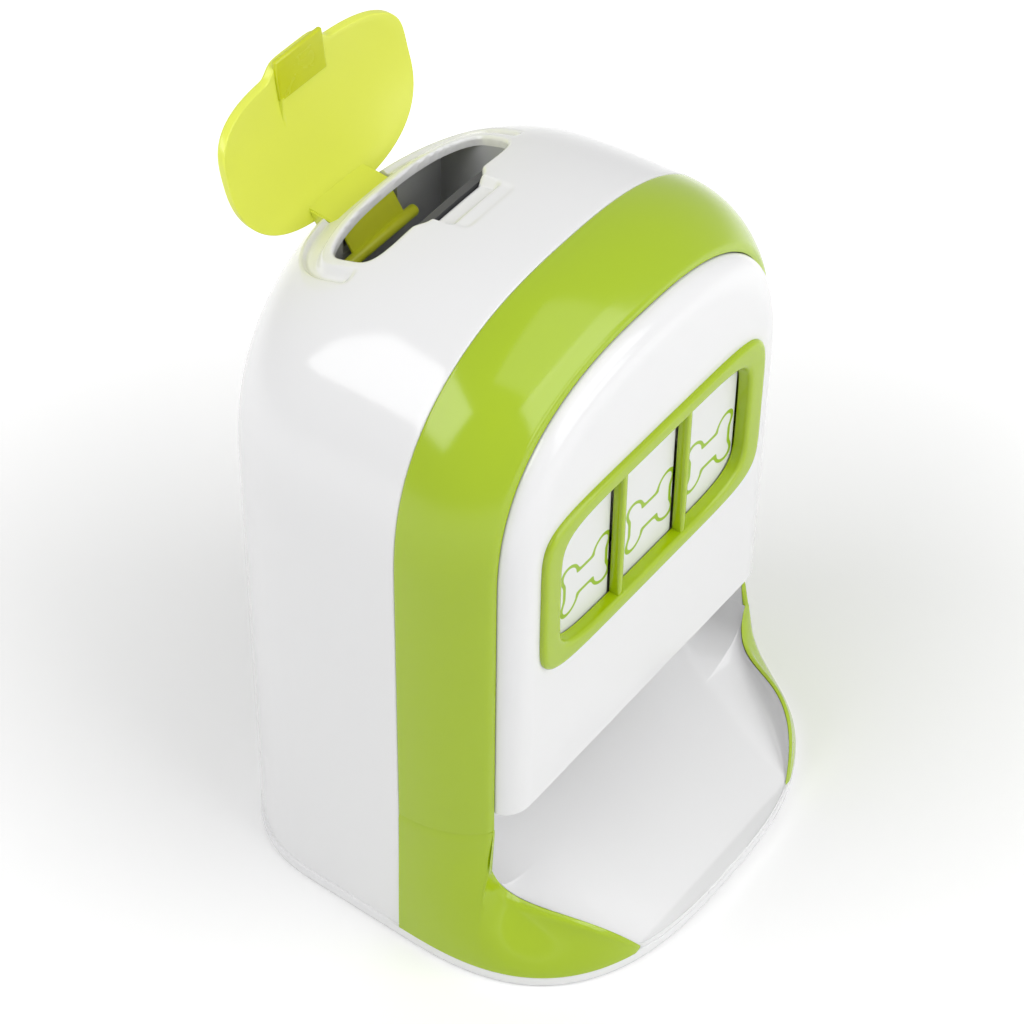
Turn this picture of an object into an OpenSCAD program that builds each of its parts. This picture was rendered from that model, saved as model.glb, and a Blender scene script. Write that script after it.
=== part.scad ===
// Remote treat dispenser: a housing with printed belts behind a window, that drops treats into a tray.
// Millimetres. X runs across the front, the front faces -Y, Z is up from the table.

/* [Housing] */
// Width across the side walls
body_w = 165; // [156:1:180]
// Height of the crown above the table
body_h = 245; // [238:1:260]
// Distance from the base centre back to the rear wall
rear_reach = 84; // [81:1:92]
// Distance from the base centre forward to the base's front edge
front_reach = 76; // [72:1:82]
// Height at which the side walls bend into the arch
spring_h = 169; // [158:1:178]
// Wall of the moulded shells
wall = 2.5; // [2:0.1:3]
// Thickness of the base plate
plate_h = 5; // [4:0.5:6]
// How far the base plate stands out beyond the side walls
plate_ledge = 1; // [0.6:0.1:2]
// Height of the seam between the arch and the feet
seam_h = 63; // [58:1:68]
// Where the rear shell meets the arch
band_rear_y = -3; // [-6:1:0]
// Where the arch ends at the front
band_front_y = -31; // [-33:1:-29]

/* [Front] */
// Front face of the panel
panel_y = -38; // [-41:1:-37]
// Height of the panel's lower edge
panel_foot = 71.5; // [69:0.5:78]
// Gap between the panel's edge and the arch
panel_gap = 0.8; // [0.4:0.1:1.2]
// Width of the panel's rounded edge
panel_roll = 11; // [8:0.5:13]
// Height of the window's centre
window_z = 158; // [150:1:164]
// Width of the window frame
frame_w = 110; // [100:1:114]
// Height of the window frame
frame_h = 64; // [56:1:68]
// Width of the frame's border
frame_border = 6; // [5:0.5:8]
// How far the frame stands proud of the panel
frame_proud = 2; // [1:0.5:3]
// Width of each divider between the panes
divider_w = 2.5; // [2:0.5:4]

/* [Belts] */
// Depth of the printed belts' faces behind the panel's front
belt_depth = 2.9; // [2.8:0.1:5]
// Thickness of a belt
belt_t = 1; // [0.8:0.1:1.4]
// Radius of the rollers that the belts run over
roller_r = 7; // [6:0.5:8]
// Distance from the window's centre up or down to a guide roller's axis
guide_rise = 33; // [31:0.5:34]
// Depth of the drive roller's axis behind the panel's front
drive_depth = 35; // [33:0.5:37]
// Radius of the drive roller's shaft
roller_shaft_r = 2.5; // [2:0.1:3]

/* [Drive] */
// Size of the gear teeth
tooth_module = 1; // [0.95:0.01:1.05]
// Teeth of the gear on the drive roller's shaft
roller_teeth = 36; // [34:2:38]
// Teeth of the idler between drive roller and rotor
idler_teeth = 26; // [24:2:28]
// Teeth of the gear on the rotor's shaft
rotor_teeth = 40; // [38:2:42]
// Teeth of the motor's pinion
pinion_teeth = 12; // [10:1:14]
// Face width of the gears
gear_w = 5; // [4:0.5:6]
// Distance from the rear wall to the rotor's axis
rotor_setback = 36; // [35:0.5:38]
// Radius of the rotor's shaft
rotor_shaft_r = 3; // [2.5:0.1:3.5]
// Radius of the idler's pin
idler_pin_r = 2; // [1.5:0.1:2.5]
// Radius of the motor's shaft
motor_shaft_r = 1.5; // [1:0.1:1.8]
// Radius of the motor's can
motor_r = 10; // [8:0.5:11]
// Length of the motor's can
motor_len = 18; // [14:1:19]
// Radius of the dispensing rotor
rotor_r = 22; // [19:0.5:23]
// Length of the dispensing rotor
rotor_w = 50; // [44:1:52]

/* [Hopper and lid] */
// Width of the hopper's mouth
mouth_w = 70; // [62:1:74]
// Distance from the rear wall to the mouth's rear edge
mouth_setback = 21; // [20:0.5:22]
// Depth of the mouth from front to back
mouth_depth = 21; // [18:0.5:22]
// Width of the lid's thumb tab
tab_w = 22; // [16:1:26]
// Width of the lid
lid_w = 85; // [78:1:90]
// Thickness of the lid
lid_t = 3.4; // [2.6:0.1:4]
// Angle that the lid swings between shut and open
lid_swing = 85; // [70:1:88]
// Radius of the lid's hinge pin
hinge_pin_r = 1; // [0.8:0.1:1.2]

/* [Tray] */
// Height of the tray's floor at its front lip
tray_lip = 7.3; // [7.3:0.1:9]
// Rise of the tray's floor for each millimetre towards the back
tray_slope = 0.45; // [0.4:0.01:0.48]

/* [Power] */
// Diameter of a battery cell
cell_d = 14.5; // [10:0.1:15]
// Length of a battery cell
cell_len = 50.5; // [44:0.1:51]
// Travel of the power switch
switch_travel = 6; // [4:0.5:8]
// Height of the power switch
switch_z = 45; // [38:1:60]

/* [Fits] */
// Radial clearance of a turning shaft
run_gap = 0.05; // [0.02:0.01:0.1]
// Clearance between moulded pieces
fit_gap = 0.3; // [0.2:0.05:0.4]

/* [Hidden] */
$fn = 64;

// Colours
white = "#f2f3f3";
green = "#b0d026";
lid_green = "#d8e650";
dark_grey = "#4a4b50";
steel = "#b8bcc0";
cream = "#e8e4d6";
black = "#26272b";

// Curves of the housing
arch_n = 2.55;
arch_steps = 32;
nose_depth = 50;
nose_n = 2.5;
nose_r = 37.4;
tail_start = 33;
tail_n = 2.5;
tail_steps = 8;
crown_y = -5;
crown_drop = 41;
crown_n = 2.1;
rear_flat = 0.4;
base_n = 2.75;
base_steps = 14;

// Height of a curve that is 1 in its middle and 0 at its end
function bow(u, n) = pow(max(0, 1 - pow(min(1, max(0, u)), n)), 1 / n);

// Half the housing's width at a depth, d millimetres inside its outer face
function half_width(y, d = 0) =
    y < 0 ? (body_w / 2 - d) * bow(-y / (nose_depth - d), nose_n)
    : y > tail_start ? (body_w / 2 - d) * bow((y - tail_start) / (rear_reach - d - tail_start), tail_n)
    : body_w / 2 - d;

// Height of the housing's crown at a depth
function crown(y, d = 0) =
    y < crown_y ? body_h - nose_r + sqrt(pow(nose_r - d, 2) - pow(crown_y - y, 2))
    : body_h - d - crown_drop * (1 - bow((y - crown_y) / (rear_reach - d - crown_y), crown_n));

// Height of the housing's surface above a point of the plan
function roof(x, y) = spring_h + (crown(y) - spring_h) * bow(abs(x) / half_width(y), arch_n);

// Arch-shaped loop of a given half-width and crown, standing at a depth
function arch_loop(y, w, top, foot) = concat(
    [[w, y, foot]],
    [for (k = [0:arch_steps]) let (c = cos(180 * k / arch_steps), s = sin(180 * k / arch_steps))
        [w * sign(c) * pow(abs(c), 2 / arch_n), y, spring_h + (top - spring_h) * pow(s, 2 / arch_n)]],
    [[-w, y, foot]]
);
function body_loop(y, d, foot) = arch_loop(y, half_width(y, d), crown(y, d), foot);

// Depths of the loops of the rear shell, closer where it rounds off
function tail_depths(d) = concat(
    [band_rear_y, 9, 21],
    [for (k = [0:tail_steps - 1])
        tail_start + (rear_reach - d - tail_start) * pow(sin(90 * k / tail_steps), 2 / tail_n)],
    [rear_reach - d - rear_flat]
);

// Plan of the base
base_half = body_w / 2 + plate_ledge;
function base_half_width(y) = base_half * bow((band_rear_y - y) / (front_reach + band_rear_y), base_n);
function base_front(a) = [
    base_half * pow(cos(a), 2 / base_n),
    band_rear_y - (front_reach + band_rear_y) * pow(sin(a), 2 / base_n)
];
function base_rear(a) = [
    base_half * pow(cos(a), 2 / tail_n),
    tail_start + (rear_reach - tail_start) * pow(sin(a), 2 / tail_n)
];
function flip(p) = [-p[0], p[1]];
base_outline = concat(
    [for (k = [0:base_steps]) base_front(90 * k / base_steps)],
    [for (k = [base_steps - 1:-1:0]) flip(base_front(90 * k / base_steps))],
    [for (k = [0:base_steps]) flip(base_rear(90 * k / base_steps))],
    [for (k = [base_steps - 1:-1:0]) base_rear(90 * k / base_steps)]
);

// Rounded oblong, n sets how square it is
function oblong(w, h, n, steps = 72) = [
    for (k = [0:steps - 1]) let (c = cos(360 * k / steps), s = sin(360 * k / steps))
        [w / 2 * sign(c) * pow(abs(c), 2 / n), h / 2 * sign(s) * pow(abs(s), 2 / n)]
];

// Smooth step from 0 to 1
function ease(u) = u * u * (3 - 2 * u);

// Solid through a row of loops with the same number of points, front loop first
module loft(loops) {
    n = len(loops[0]);
    m = len(loops);
    polyhedron(
        points = [for (loop = loops) each loop],
        faces = concat(
            [for (i = [0:m - 2], j = [0:n - 1]) [i * n + j, i * n + (j + 1) % n, (i + 1) * n + (j + 1) % n]],
            [for (i = [0:m - 2], j = [0:n - 1]) [i * n + j, (i + 1) * n + (j + 1) % n, (i + 1) * n + j]],
            [[for (j = [n - 1:-1:0]) j]],
            [[for (j = [0:n - 1]) (m - 1) * n + j]]
        )
    );
}

// Extrusion along X of a shape drawn in the Y-Z plane
module along_x(from, to) {
    translate([from, 0, 0])
        rotate([90, 0, 90])
            linear_extrude(to - from)
                children();
}

// Extrusion along Y of a shape drawn in the X-Z plane
module along_y(from, to) {
    translate([0, to, 0])
        rotate([90, 0, 0])
            linear_extrude(to - from)
                children();
}

// Rod along X
module rod(from, to, y, z, r) {
    translate([from, y, z])
        rotate([0, 90, 0])
            cylinder(h = to - from, r = r);
}

module mirror_pair() {
    children();
    mirror([1, 0, 0])
        children();
}

// Window, belts and drive places
panel_t = wall;
panel_edge_y = band_front_y - fit_gap;
frame_n = 5;
pane_w = (frame_w - 2 * frame_border - 2 * divider_w) / 3;
pane_h = frame_h - 2 * frame_border;
pane_pitch = pane_w + divider_w;
frame_sleeve = panel_t - 0.1;
belt_w = pane_w - 1;
belt_gap = 0.1;
belts_half = pane_pitch + belt_w / 2;
guide_y = panel_y + belt_depth + belt_t + belt_gap + roller_r;
roller_y = panel_y + drive_depth;
roller_z = window_z;
chassis_x = belts_half + 2;
chassis_t = 3;
gear_x = chassis_x + chassis_t + 1;
train_len = tooth_module * (roller_teeth + 2 * idler_teeth + rotor_teeth) / 2;
idler_len = tooth_module * (roller_teeth + idler_teeth) / 2;
rotor_y = rear_reach - rotor_setback;
train_tilt = -acos((rotor_y - roller_y) / train_len);
rotor_z = roller_z + train_len * sin(train_tilt);
idler_y = roller_y + idler_len * cos(train_tilt);
idler_z = roller_z + idler_len * sin(train_tilt);
pinion_tilt = -75;
pinion_len = tooth_module * (rotor_teeth + pinion_teeth) / 2;
pinion_y = rotor_y + pinion_len * cos(pinion_tilt);
pinion_z = rotor_z + pinion_len * sin(pinion_tilt);

// Turn of a gear so that its gaps face the teeth of its neighbour in direction phi
function mesh_turn(n1, turn1, phi, n2) = phi + 180 + (180 - n1 * (turn1 - phi)) / n2;
roller_turn = 0;
idler_turn = mesh_turn(roller_teeth, roller_turn, train_tilt, idler_teeth);
rotor_turn = mesh_turn(idler_teeth, idler_turn, train_tilt, rotor_teeth);
pinion_turn = mesh_turn(rotor_teeth, rotor_turn, pinion_tilt, pinion_teeth);

// Trough round the rotor, and the hopper above it
mouth_rear = rear_reach - mouth_setback;
mouth_front = mouth_rear - mouth_depth;
trough_gap = 1;
trough_t = 2.5;
trough_r = rotor_r + trough_gap;
trough_half = rotor_w / 2 + 0.7;
hopper_t = 2;
hopper_front = mouth_front - 2;
hopper_rear = mouth_rear + 7;
funnel_top = rotor_z + 2 * (trough_r + trough_t) + 5;
funnel_foot = rotor_z + trough_r + trough_t + 2.5;

// Lid and its hinge
hinge_y = rear_reach - 9.3;
hinge_z = crown(hinge_y) - 6.1;
knuckle_r = 2.6;
knuckle_in = 5;
neck_half = 13.7;
notch_gap = 0.6;
lug_t = 3;
hinge_reach = neck_half + notch_gap + lug_t;
lid_gap = 0.8;
lid_front = mouth_front - 10.8;
lid_mid = mouth_front + 8;
lid_rear = hinge_y + 1;
lid_front_n = 4.5;
lid_rear_n = 2.35;
lid_steps = 7;
bump_half = 12.6;
bump_reach = 3.9;
lid_cross = 12;
tab_t = 2.6;
tab_front = mouth_front - 16.5;
tab_rear = mouth_front - 2;
pocket_front = tab_front - 1.2;
pocket_floor = crown(pocket_front) - 7.5;

// Strap that ties the lid to the hopper
strap_t = 2;
strap_half = 12.5;
strap_y = mouth_rear + 3;
strap_z = hinge_z - 8.3;
cross_bar_r = 2;
cross_bar_half = 17;

// Rim of the foot beside the tray, as the four control points of a curve
foot_t = 2.2;
rim_tip_x = body_w / 2 - 37;
tip_a = acos(pow(rim_tip_x / base_half, base_n / 2));
rim_tip_y = base_front(tip_a)[1];
rim_top_z = seam_h - 18;
rim_share = (rim_top_z - plate_h) / (seam_h - plate_h);
rim_x = base_half_width(band_front_y) * (1 - ease(rim_share)) + half_width(band_front_y) * ease(rim_share);
rim = [
    [rim_x, band_front_y - 0.8, rim_top_z],
    [rim_tip_x + 15.5, band_front_y - 1, rim_top_z - 34],
    [rim_tip_x + 21, rim_tip_y + 9.5, rim_top_z - 4],
    [rim_tip_x - 0.9, rim_tip_y, plate_h + 1.2]
];
function rim_at(t) =
    pow(1 - t, 3) * rim[0] + 3 * t * pow(1 - t, 2) * rim[1] + 3 * t * t * (1 - t) * rim[2] + pow(t, 3) * rim[3];
rim_steps = 10;
foot_steps = 6;
band_steps = 4;

// Tray
tray_t = 2.2;
tray_rear_y = -8;
tray_mouth_half = 58;
tray_waist_half = rim_tip_x - 1.5;
cheek_steps = 5;
rim_in = foot_t + fit_gap;

// Batteries
cell_count = 4;
cell_pitch = cell_d + 0.5;
contact_t = 0.8;
contact_bump = 1.2;
cell_x = cell_len / 2;
box_in_x = cell_x + contact_bump + contact_t + 0.3;
box_t = 2;
box_y = rear_reach - 43;
box_half_y = cell_count * cell_pitch / 2 + 0.5;
box_h = cell_d + 1.5;
door_t = 2;

// Screws and feet
screw_r = 1.5;
screw_head_r = 3;
screw_head_h = 2;
flange_w = 10;
flange_h = 8;
screw_x = chassis_x + chassis_t + flange_w / 2;
screw_y = [20, rear_reach - 22];
chassis_front_y = 5;
chassis_rear_y = rear_reach - 14;
flange_rear_y = rear_reach - 19;
pad_r = 7;
pad_h = 1.5;
pad_places = [[58, -35], [44, rear_reach - 15]];
door_screw_y = box_y + box_half_y + 3.6;

// White back, sides and top, with the hopper's mouth and the lid's notch
module rear_shell() {
    color(white) {
        difference() {
            loft([for (y = tail_depths(0)) body_loop(y, 0, plate_h)]);
            loft([for (y = concat([band_rear_y - 1], [for (y = tail_depths(wall)) y + 0.01]))
                body_loop(y, wall, plate_h - 1)]);
            translate([0, 0, spring_h])
                linear_extrude(body_h)
                    mouth_plan();
            translate([-tab_w / 2 - notch_gap, pocket_front, pocket_floor])
                cube([tab_w + 2 * notch_gap, mouth_front - pocket_front + 1, body_h]);
            hinge_notch();
            rod(-hinge_reach - fit_gap, hinge_reach + fit_gap, hinge_y, hinge_z, hinge_pin_r);
            translate([-(switch_travel + 7) / 2, rear_reach - 2 * wall, switch_z - 2.8])
                cube([switch_travel + 7, 4 * wall, 5.6]);
        }
        pocket_shelf();
        mirror_pair()
            hinge_lug();
    }
}

// Plan of the hopper's mouth, bowed out at the back
module mouth_plan() {
    mid = (mouth_front + mouth_rear) / 2;
    polygon([for (p = oblong(mouth_w, mouth_rear - mouth_front, 5))
        [p[0], mid + p[1] - (p[1] > 0 ? 4 * pow(2 * p[0] / mouth_w, 2) : 0)]]);
}

module hinge_notch() {
    half = neck_half + notch_gap;
    translate([-half, hinge_y - knuckle_r - notch_gap, hinge_z - knuckle_r - notch_gap])
        cube([2 * half, rear_reach, body_h]);
}

// Lug beside the notch that holds the end of the hinge pin
module hinge_lug() {
    difference() {
        translate([neck_half + notch_gap, hinge_y - 2.4, hinge_z - 3])
            cube([lug_t, 4, crown(hinge_y + 1.6) - hinge_z + 1.8]);
        rod(0, body_w, hinge_y, hinge_z, hinge_pin_r);
    }
}

// Shelf under the pocket that takes the lid's tab
module pocket_shelf() {
    shelf_t = 1.6;
    half = tab_w / 2 + notch_gap + shelf_t;
    depth = hopper_front - hopper_t - fit_gap - pocket_front + shelf_t;
    difference() {
        translate([-half, pocket_front - shelf_t, pocket_floor - shelf_t])
            cube([2 * half, depth, crown(hopper_front) - 1 - pocket_floor + shelf_t]);
        translate([-half + shelf_t, pocket_front, pocket_floor])
            cube([2 * (half - shelf_t), depth, body_h]);
    }
}

// Green band over the top and down both sides, with the flange that the panel sits on
module front_arch() {
    depths = [for (k = [0:6]) band_front_y + (band_rear_y - band_front_y) * k / 6];
    flange_w = 6;
    flange_t = 2;
    edge_w = half_width(band_front_y);
    edge_top = crown(band_front_y);
    color(green) {
        difference() {
            loft([for (y = depths) body_loop(y, 0, seam_h)]);
            loft([for (y = concat([band_front_y - 1], depths, [band_rear_y + 1])) body_loop(y, wall, seam_h - 1)]);
        }
        difference() {
            loft([for (y = [band_front_y, band_front_y + flange_t])
                arch_loop(y, edge_w - wall / 2, edge_top - wall / 2, panel_foot)]);
            loft([for (y = [band_front_y - 1, band_front_y + flange_t + 1])
                arch_loop(y, edge_w - wall - flange_w, edge_top - wall - flange_w, panel_foot - 1)]);
        }
    }
}

// Panel's outer or inner face: the edge rolls forward to a flat front
function panel_loops(d, foot) = let (roll_d = panel_edge_y - panel_y) concat(
    [for (k = [4:-1:0]) let (a = 90 * k / 4, inset = panel_gap + d + (panel_roll - d) * (1 - cos(a)))
        arch_loop(panel_edge_y - (roll_d - d) * sin(a), half_width(band_front_y) - inset,
            crown(band_front_y) - inset, foot)],
    d > 0 ? [arch_loop(panel_edge_y + 1, half_width(band_front_y) - panel_gap - d,
        crown(band_front_y) - panel_gap - d, foot)] : []
);

// White front with a rounded edge and the window's hole
module front_panel() {
    color(white)
        difference() {
            loft(panel_loops(0, panel_foot));
            loft(panel_loops(panel_t, panel_foot + panel_t));
            along_y(panel_y - 1, panel_y + 2 * panel_t)
                translate([0, window_z])
                    polygon(oblong(frame_w - frame_border + 2 * fit_gap, frame_h - frame_border + 2 * fit_gap, frame_n));
        }
}

// Green frame: a proud border, a sleeve through the panel and two dividers
module window_frame() {
    color(green) {
        along_y(panel_y - frame_proud, panel_y)
            translate([0, window_z])
                difference() {
                    polygon(oblong(frame_w, frame_h, frame_n));
                    polygon(oblong(frame_w - 2 * frame_border, pane_h, frame_n + 1));
                }
        along_y(panel_y, panel_y + frame_sleeve)
            translate([0, window_z])
                difference() {
                    polygon(oblong(frame_w - frame_border, frame_h - frame_border, frame_n));
                    polygon(oblong(frame_w - 2 * frame_border, pane_h, frame_n + 1));
                }
        for (side = [-1, 1])
            along_y(panel_y - frame_proud + 1, panel_y + frame_sleeve)
                translate([side * pane_pitch / 2 - divider_w / 2, window_z - pane_h / 2 - 1])
                    square([divider_w, pane_h + 2]);
    }
}

// White plinth, with the battery opening and the screw holes
module base_plate() {
    color(white)
        difference() {
            linear_extrude(plate_h)
                polygon(base_outline);
            translate([-box_in_x, box_y - box_half_y, -1])
                cube([2 * box_in_x, 2 * box_half_y, plate_h + 2]);
            door_recess(fit_gap);
            translate([0, door_screw_y, -1])
                cylinder(h = plate_h + 2, r = screw_r);
            for (side = [-1, 1], y = screw_y)
                translate([side * screw_x, y, 0]) {
                    translate([0, 0, -1])
                        cylinder(h = plate_h + 2, r = screw_r);
                    translate([0, 0, -1])
                        cylinder(h = screw_head_h + 1.5, r = screw_head_r + fit_gap);
                }
            for (side = [-1, 1], p = pad_places)
                translate([side * p[0], p[1], -1])
                    cylinder(h = pad_h + 1, r = pad_r + fit_gap);
        }
}

// Shallow recess for the battery door, grown by a gap
module door_recess(gap) {
    half_x = box_in_x + 3 + gap;
    front = box_y - box_half_y - 3 - gap;
    rear = box_y + box_half_y + 7.5 + gap;
    translate([-half_x, front, gap > 0 ? -1 : 0])
        cube([2 * half_x, rear - front, gap > 0 ? door_t + 1 : door_t]);
}

// Lower end of the band, flaring forward into a foot beside the tray
module side_foot() {
    edge_u = (band_rear_y - rim[0][1]) / (front_reach + band_rear_y);
    edge_a = asin(pow(edge_u, base_n / 2));
    band = [for (k = [0:band_steps]) let (y = band_rear_y + (band_front_y - band_rear_y) * k / band_steps)
        foot_loop([base_half_width(y), y, plate_h], [half_width(y), y, seam_h], 1, 1)];
    flare = [for (k = [0:rim_steps]) let (t = k / rim_steps, b = base_front(edge_a + (tip_a - edge_a) * t))
        foot_loop([b[0], b[1], plate_h], rim_at(t), rim_share, t)];
    loops = concat(band, flare);
    last = len(loops) - 1;
    loft([for (k = [last:-1:0]) loops[k]]);
}

// Loop round one slice of a foot: up its outer face and down its inner face.
// The face leans as the lower share of a smooth step, or as all of it where plain is 1.
function foot_loop(low, high, share, plain) = let (
    outer = [for (k = [0:foot_steps])
        let (u = k / foot_steps, g = (1 - plain) * ease(u * share) / ease(share) + plain * ease(u))
        [low[0] + (high[0] - low[0]) * g, low[1] + (high[1] - low[1]) * g, low[2] + (high[2] - low[2]) * u]]
) concat(outer, [for (k = [foot_steps:-1:0]) outer[k] - [foot_t, 0, 0]]);

module side_foot_right() {
    color(green)
        side_foot();
}

module side_foot_left() {
    color(green)
        mirror([1, 0, 0])
            side_foot();
}

// Height of the tray's floor and half its width at a depth
function tray_floor(y) = tray_lip + tray_slope * max(0, y - rim_tip_y);
function tray_half(y) = let (u = min(1, max(0, (y - rim_tip_y - 20) / (tray_rear_y - rim_tip_y - 20))))
    tray_waist_half + (tray_mouth_half - tray_waist_half) * u * u;

// Loop round one slice of the tray, with cheeks that curve up to the rim
function tray_loop(y, rim_x, rim_z) = let (
    cheek = [for (k = [0:cheek_steps]) let (a = 90 * k / cheek_steps, x = min(tray_half(y), rim_x - 1))
        [x + (rim_x - x) * sin(a), tray_floor(y) + max(0.4, rim_z - tray_floor(y)) * (1 - cos(a))]],
    right_low = [for (p = cheek) [p[0], y, max(plate_h + 0.05, p[1] - tray_t)]],
    right_top = [for (p = cheek) [p[0], y, p[1]]],
    left = [for (k = [cheek_steps:-1:0]) k]
) concat(
    [for (k = left) [-right_low[k][0], y, right_low[k][2]]],
    right_low,
    [for (k = left) right_top[k]],
    [for (p = right_top) [-p[0], y, p[2]]]
);

// White scoop that catches the treats
module treat_tray() {
    wall_x = half_width(band_front_y) - rim_in;
    inner = [for (y = [tray_rear_y, -16, -24, band_front_y]) tray_loop(y, wall_x, seam_h - 1)];
    outer = [for (k = [0:rim_steps]) let (p = rim_at(k / rim_steps)) tray_loop(p[1], p[0] - rim_in, p[2])];
    lip = [for (share = [0.4, 0.7, 0.93]) let (y = rim_tip_y - (front_reach + rim_tip_y) * share)
        tray_loop(y, base_half_width(y) - rim_in, tray_lip + 0.4)];
    loops = concat(inner, outer, lip);
    last = len(loops) - 1;
    color(white)
        loft([for (k = [last:-1:0]) loops[k]]);
}

// Dark funnel under the mouth, ending in the trough round the rotor
module hopper() {
    half = mouth_w / 2;
    color(dark_grey)
        difference() {
            union() {
                intersection() {
                    along_y(hopper_front - hopper_t, hopper_rear + hopper_t)
                        polygon(funnel(half + hopper_t, trough_half + trough_t));
                    loft([for (y = concat([hopper_front - 10], tail_depths(wall + fit_gap)))
                        if (y > hopper_front - 12) body_loop(y, wall + fit_gap, plate_h)]);
                }
                rod(-trough_half - trough_t, trough_half + trough_t, rotor_y, rotor_z, trough_r + trough_t);
            }
            along_y(hopper_front, hopper_rear)
                polygon(funnel(half, trough_half));
            rod(-trough_half, trough_half, rotor_y, rotor_z, trough_r);
            rod(-body_w, body_w, rotor_y, rotor_z, rotor_shaft_r + run_gap);
            translate([-trough_half, rotor_y - 2 * trough_r, rotor_z - 2 * trough_r])
                cube([2 * trough_half, 2 * trough_r + 3, 2 * trough_r - 7]);
            translate([-strap_half - 0.8, hopper_rear - 1, strap_z + 0.5])
                cube([2 * strap_half + 1.6, hopper_t + 2, 12]);
        }
}

// Outline of the funnel across the housing
function funnel(top_half, foot_half) = [
    [-top_half, body_h], [-top_half, funnel_top], [-foot_half, funnel_foot], [-foot_half, rotor_z],
    [foot_half, rotor_z], [foot_half, funnel_foot], [top_half, funnel_top], [top_half, body_h]
];

// Slide from the rotor down to the tray
module chute() {
    chute_t = 2;
    side_h = 15;
    half = trough_half + trough_t + fit_gap;
    low = [tray_rear_y - 2, tray_floor(tray_rear_y) + fit_gap];
    high = [rotor_y + 5, rotor_z - trough_r - trough_t - 6];
    color(white) {
        along_x(-half - chute_t, half + chute_t)
            polygon([low, low + [0, chute_t], high + [0, chute_t], high]);
        for (x = [-half - chute_t, half])
            along_x(x, x + chute_t)
                polygon([low, low + [0, side_h], high + [0, side_h], high]);
    }
}

// Outline of a side plate, seen along X
chassis_outline = [
    [chassis_front_y, plate_h], [chassis_rear_y, plate_h], [chassis_rear_y, rotor_z + 14],
    [roller_y + 14, roller_z + 14], [guide_y + 5, window_z + guide_rise + 5],
    [guide_y - 5, window_z + guide_rise + 5], [guide_y - 5, window_z - guide_rise - 5],
    [roller_y - 12, rotor_z - 26], [chassis_front_y, rotor_z - 46]
];

// Side plate with the bearings and a screw flange at its foot
module chassis() {
    difference() {
        union() {
            along_x(chassis_x, chassis_x + chassis_t)
                polygon(chassis_outline);
            translate([chassis_x + chassis_t - 0.5, chassis_front_y, plate_h])
                cube([flange_w + 0.5, flange_rear_y - chassis_front_y, flange_h]);
        }
        rod(chassis_x - 1, gear_x, roller_y, roller_z, roller_shaft_r + run_gap);
        for (side = [-1, 1])
            rod(chassis_x - 1, gear_x, guide_y, window_z + side * guide_rise, roller_shaft_r + run_gap);
        for (y = screw_y)
            translate([screw_x, y, plate_h - 1])
                cylinder(h = flange_h - 1, r = screw_r);
    }
}

module chassis_right() {
    color(cream)
        difference() {
            chassis();
            rod(chassis_x - 1, gear_x, rotor_y, rotor_z, rotor_shaft_r + run_gap);
            rod(chassis_x - 1, gear_x, idler_y, idler_z, idler_pin_r);
            rod(chassis_x - 1, gear_x, pinion_y, pinion_z, motor_shaft_r + 1);
        }
}

board_t = 1.6;
board_gap = 2;
board_z = rotor_z - 30;
board_y = rotor_y - 10;
board_h = 44;
board_w = 56;
post_inset = 5;

module chassis_left() {
    color(cream)
        mirror([1, 0, 0]) {
            chassis();
            for (y = [-1, 1], z = [-1, 1])
                rod(chassis_x + chassis_t - 0.5, chassis_x + chassis_t + board_gap,
                    board_y + y * (board_w / 2 - post_inset), board_z + z * (board_h / 2 - post_inset), 2.5);
        }
}

// Control board with the radio receiver, its coil, chips and plugs
module circuit_board() {
    x0 = chassis_x + chassis_t + board_gap;
    color("#2f7d4f")
        mirror([1, 0, 0]) {
            translate([x0, board_y - board_w / 2, board_z - board_h / 2])
                cube([board_t, board_w, board_h]);
            translate([x0 + board_t - 0.2, board_y - 20, board_z - 2])
                cube([3.2, 14, 14]);
            translate([x0 + board_t - 0.2, board_y + 4, board_z + 4])
                cube([5.2, 18, 10]);
            translate([x0 + board_t - 0.2, board_y + 6, board_z - 16])
                cube([7.2, 12, 8]);
            rod(x0 + board_t - 0.2, x0 + board_t + 9, board_y - 12, board_z - 12, 4);
        }
}

// Half the lid's width at a depth while it is shut
function lid_half(y) = max(neck_half, lid_w / 2 * (y < lid_mid
    ? bow((lid_mid - y) / (lid_mid - lid_front), lid_front_n)
    : bow((y - lid_mid) / (lid_rear + 0.6 - lid_mid), lid_rear_n)));

// Slice of the shut lid, following the housing's roof
function lid_loop(y) = let (half = lid_half(y),
    xs = [for (k = [0:lid_cross]) half * (2 * k / lid_cross - 1)]
) concat(
    [for (x = xs) [x, y, roof(x, y) + lid_gap]],
    [for (k = [lid_cross:-1:0]) [xs[k], y, roof(xs[k], y) + lid_gap + lid_t]]
);

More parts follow.
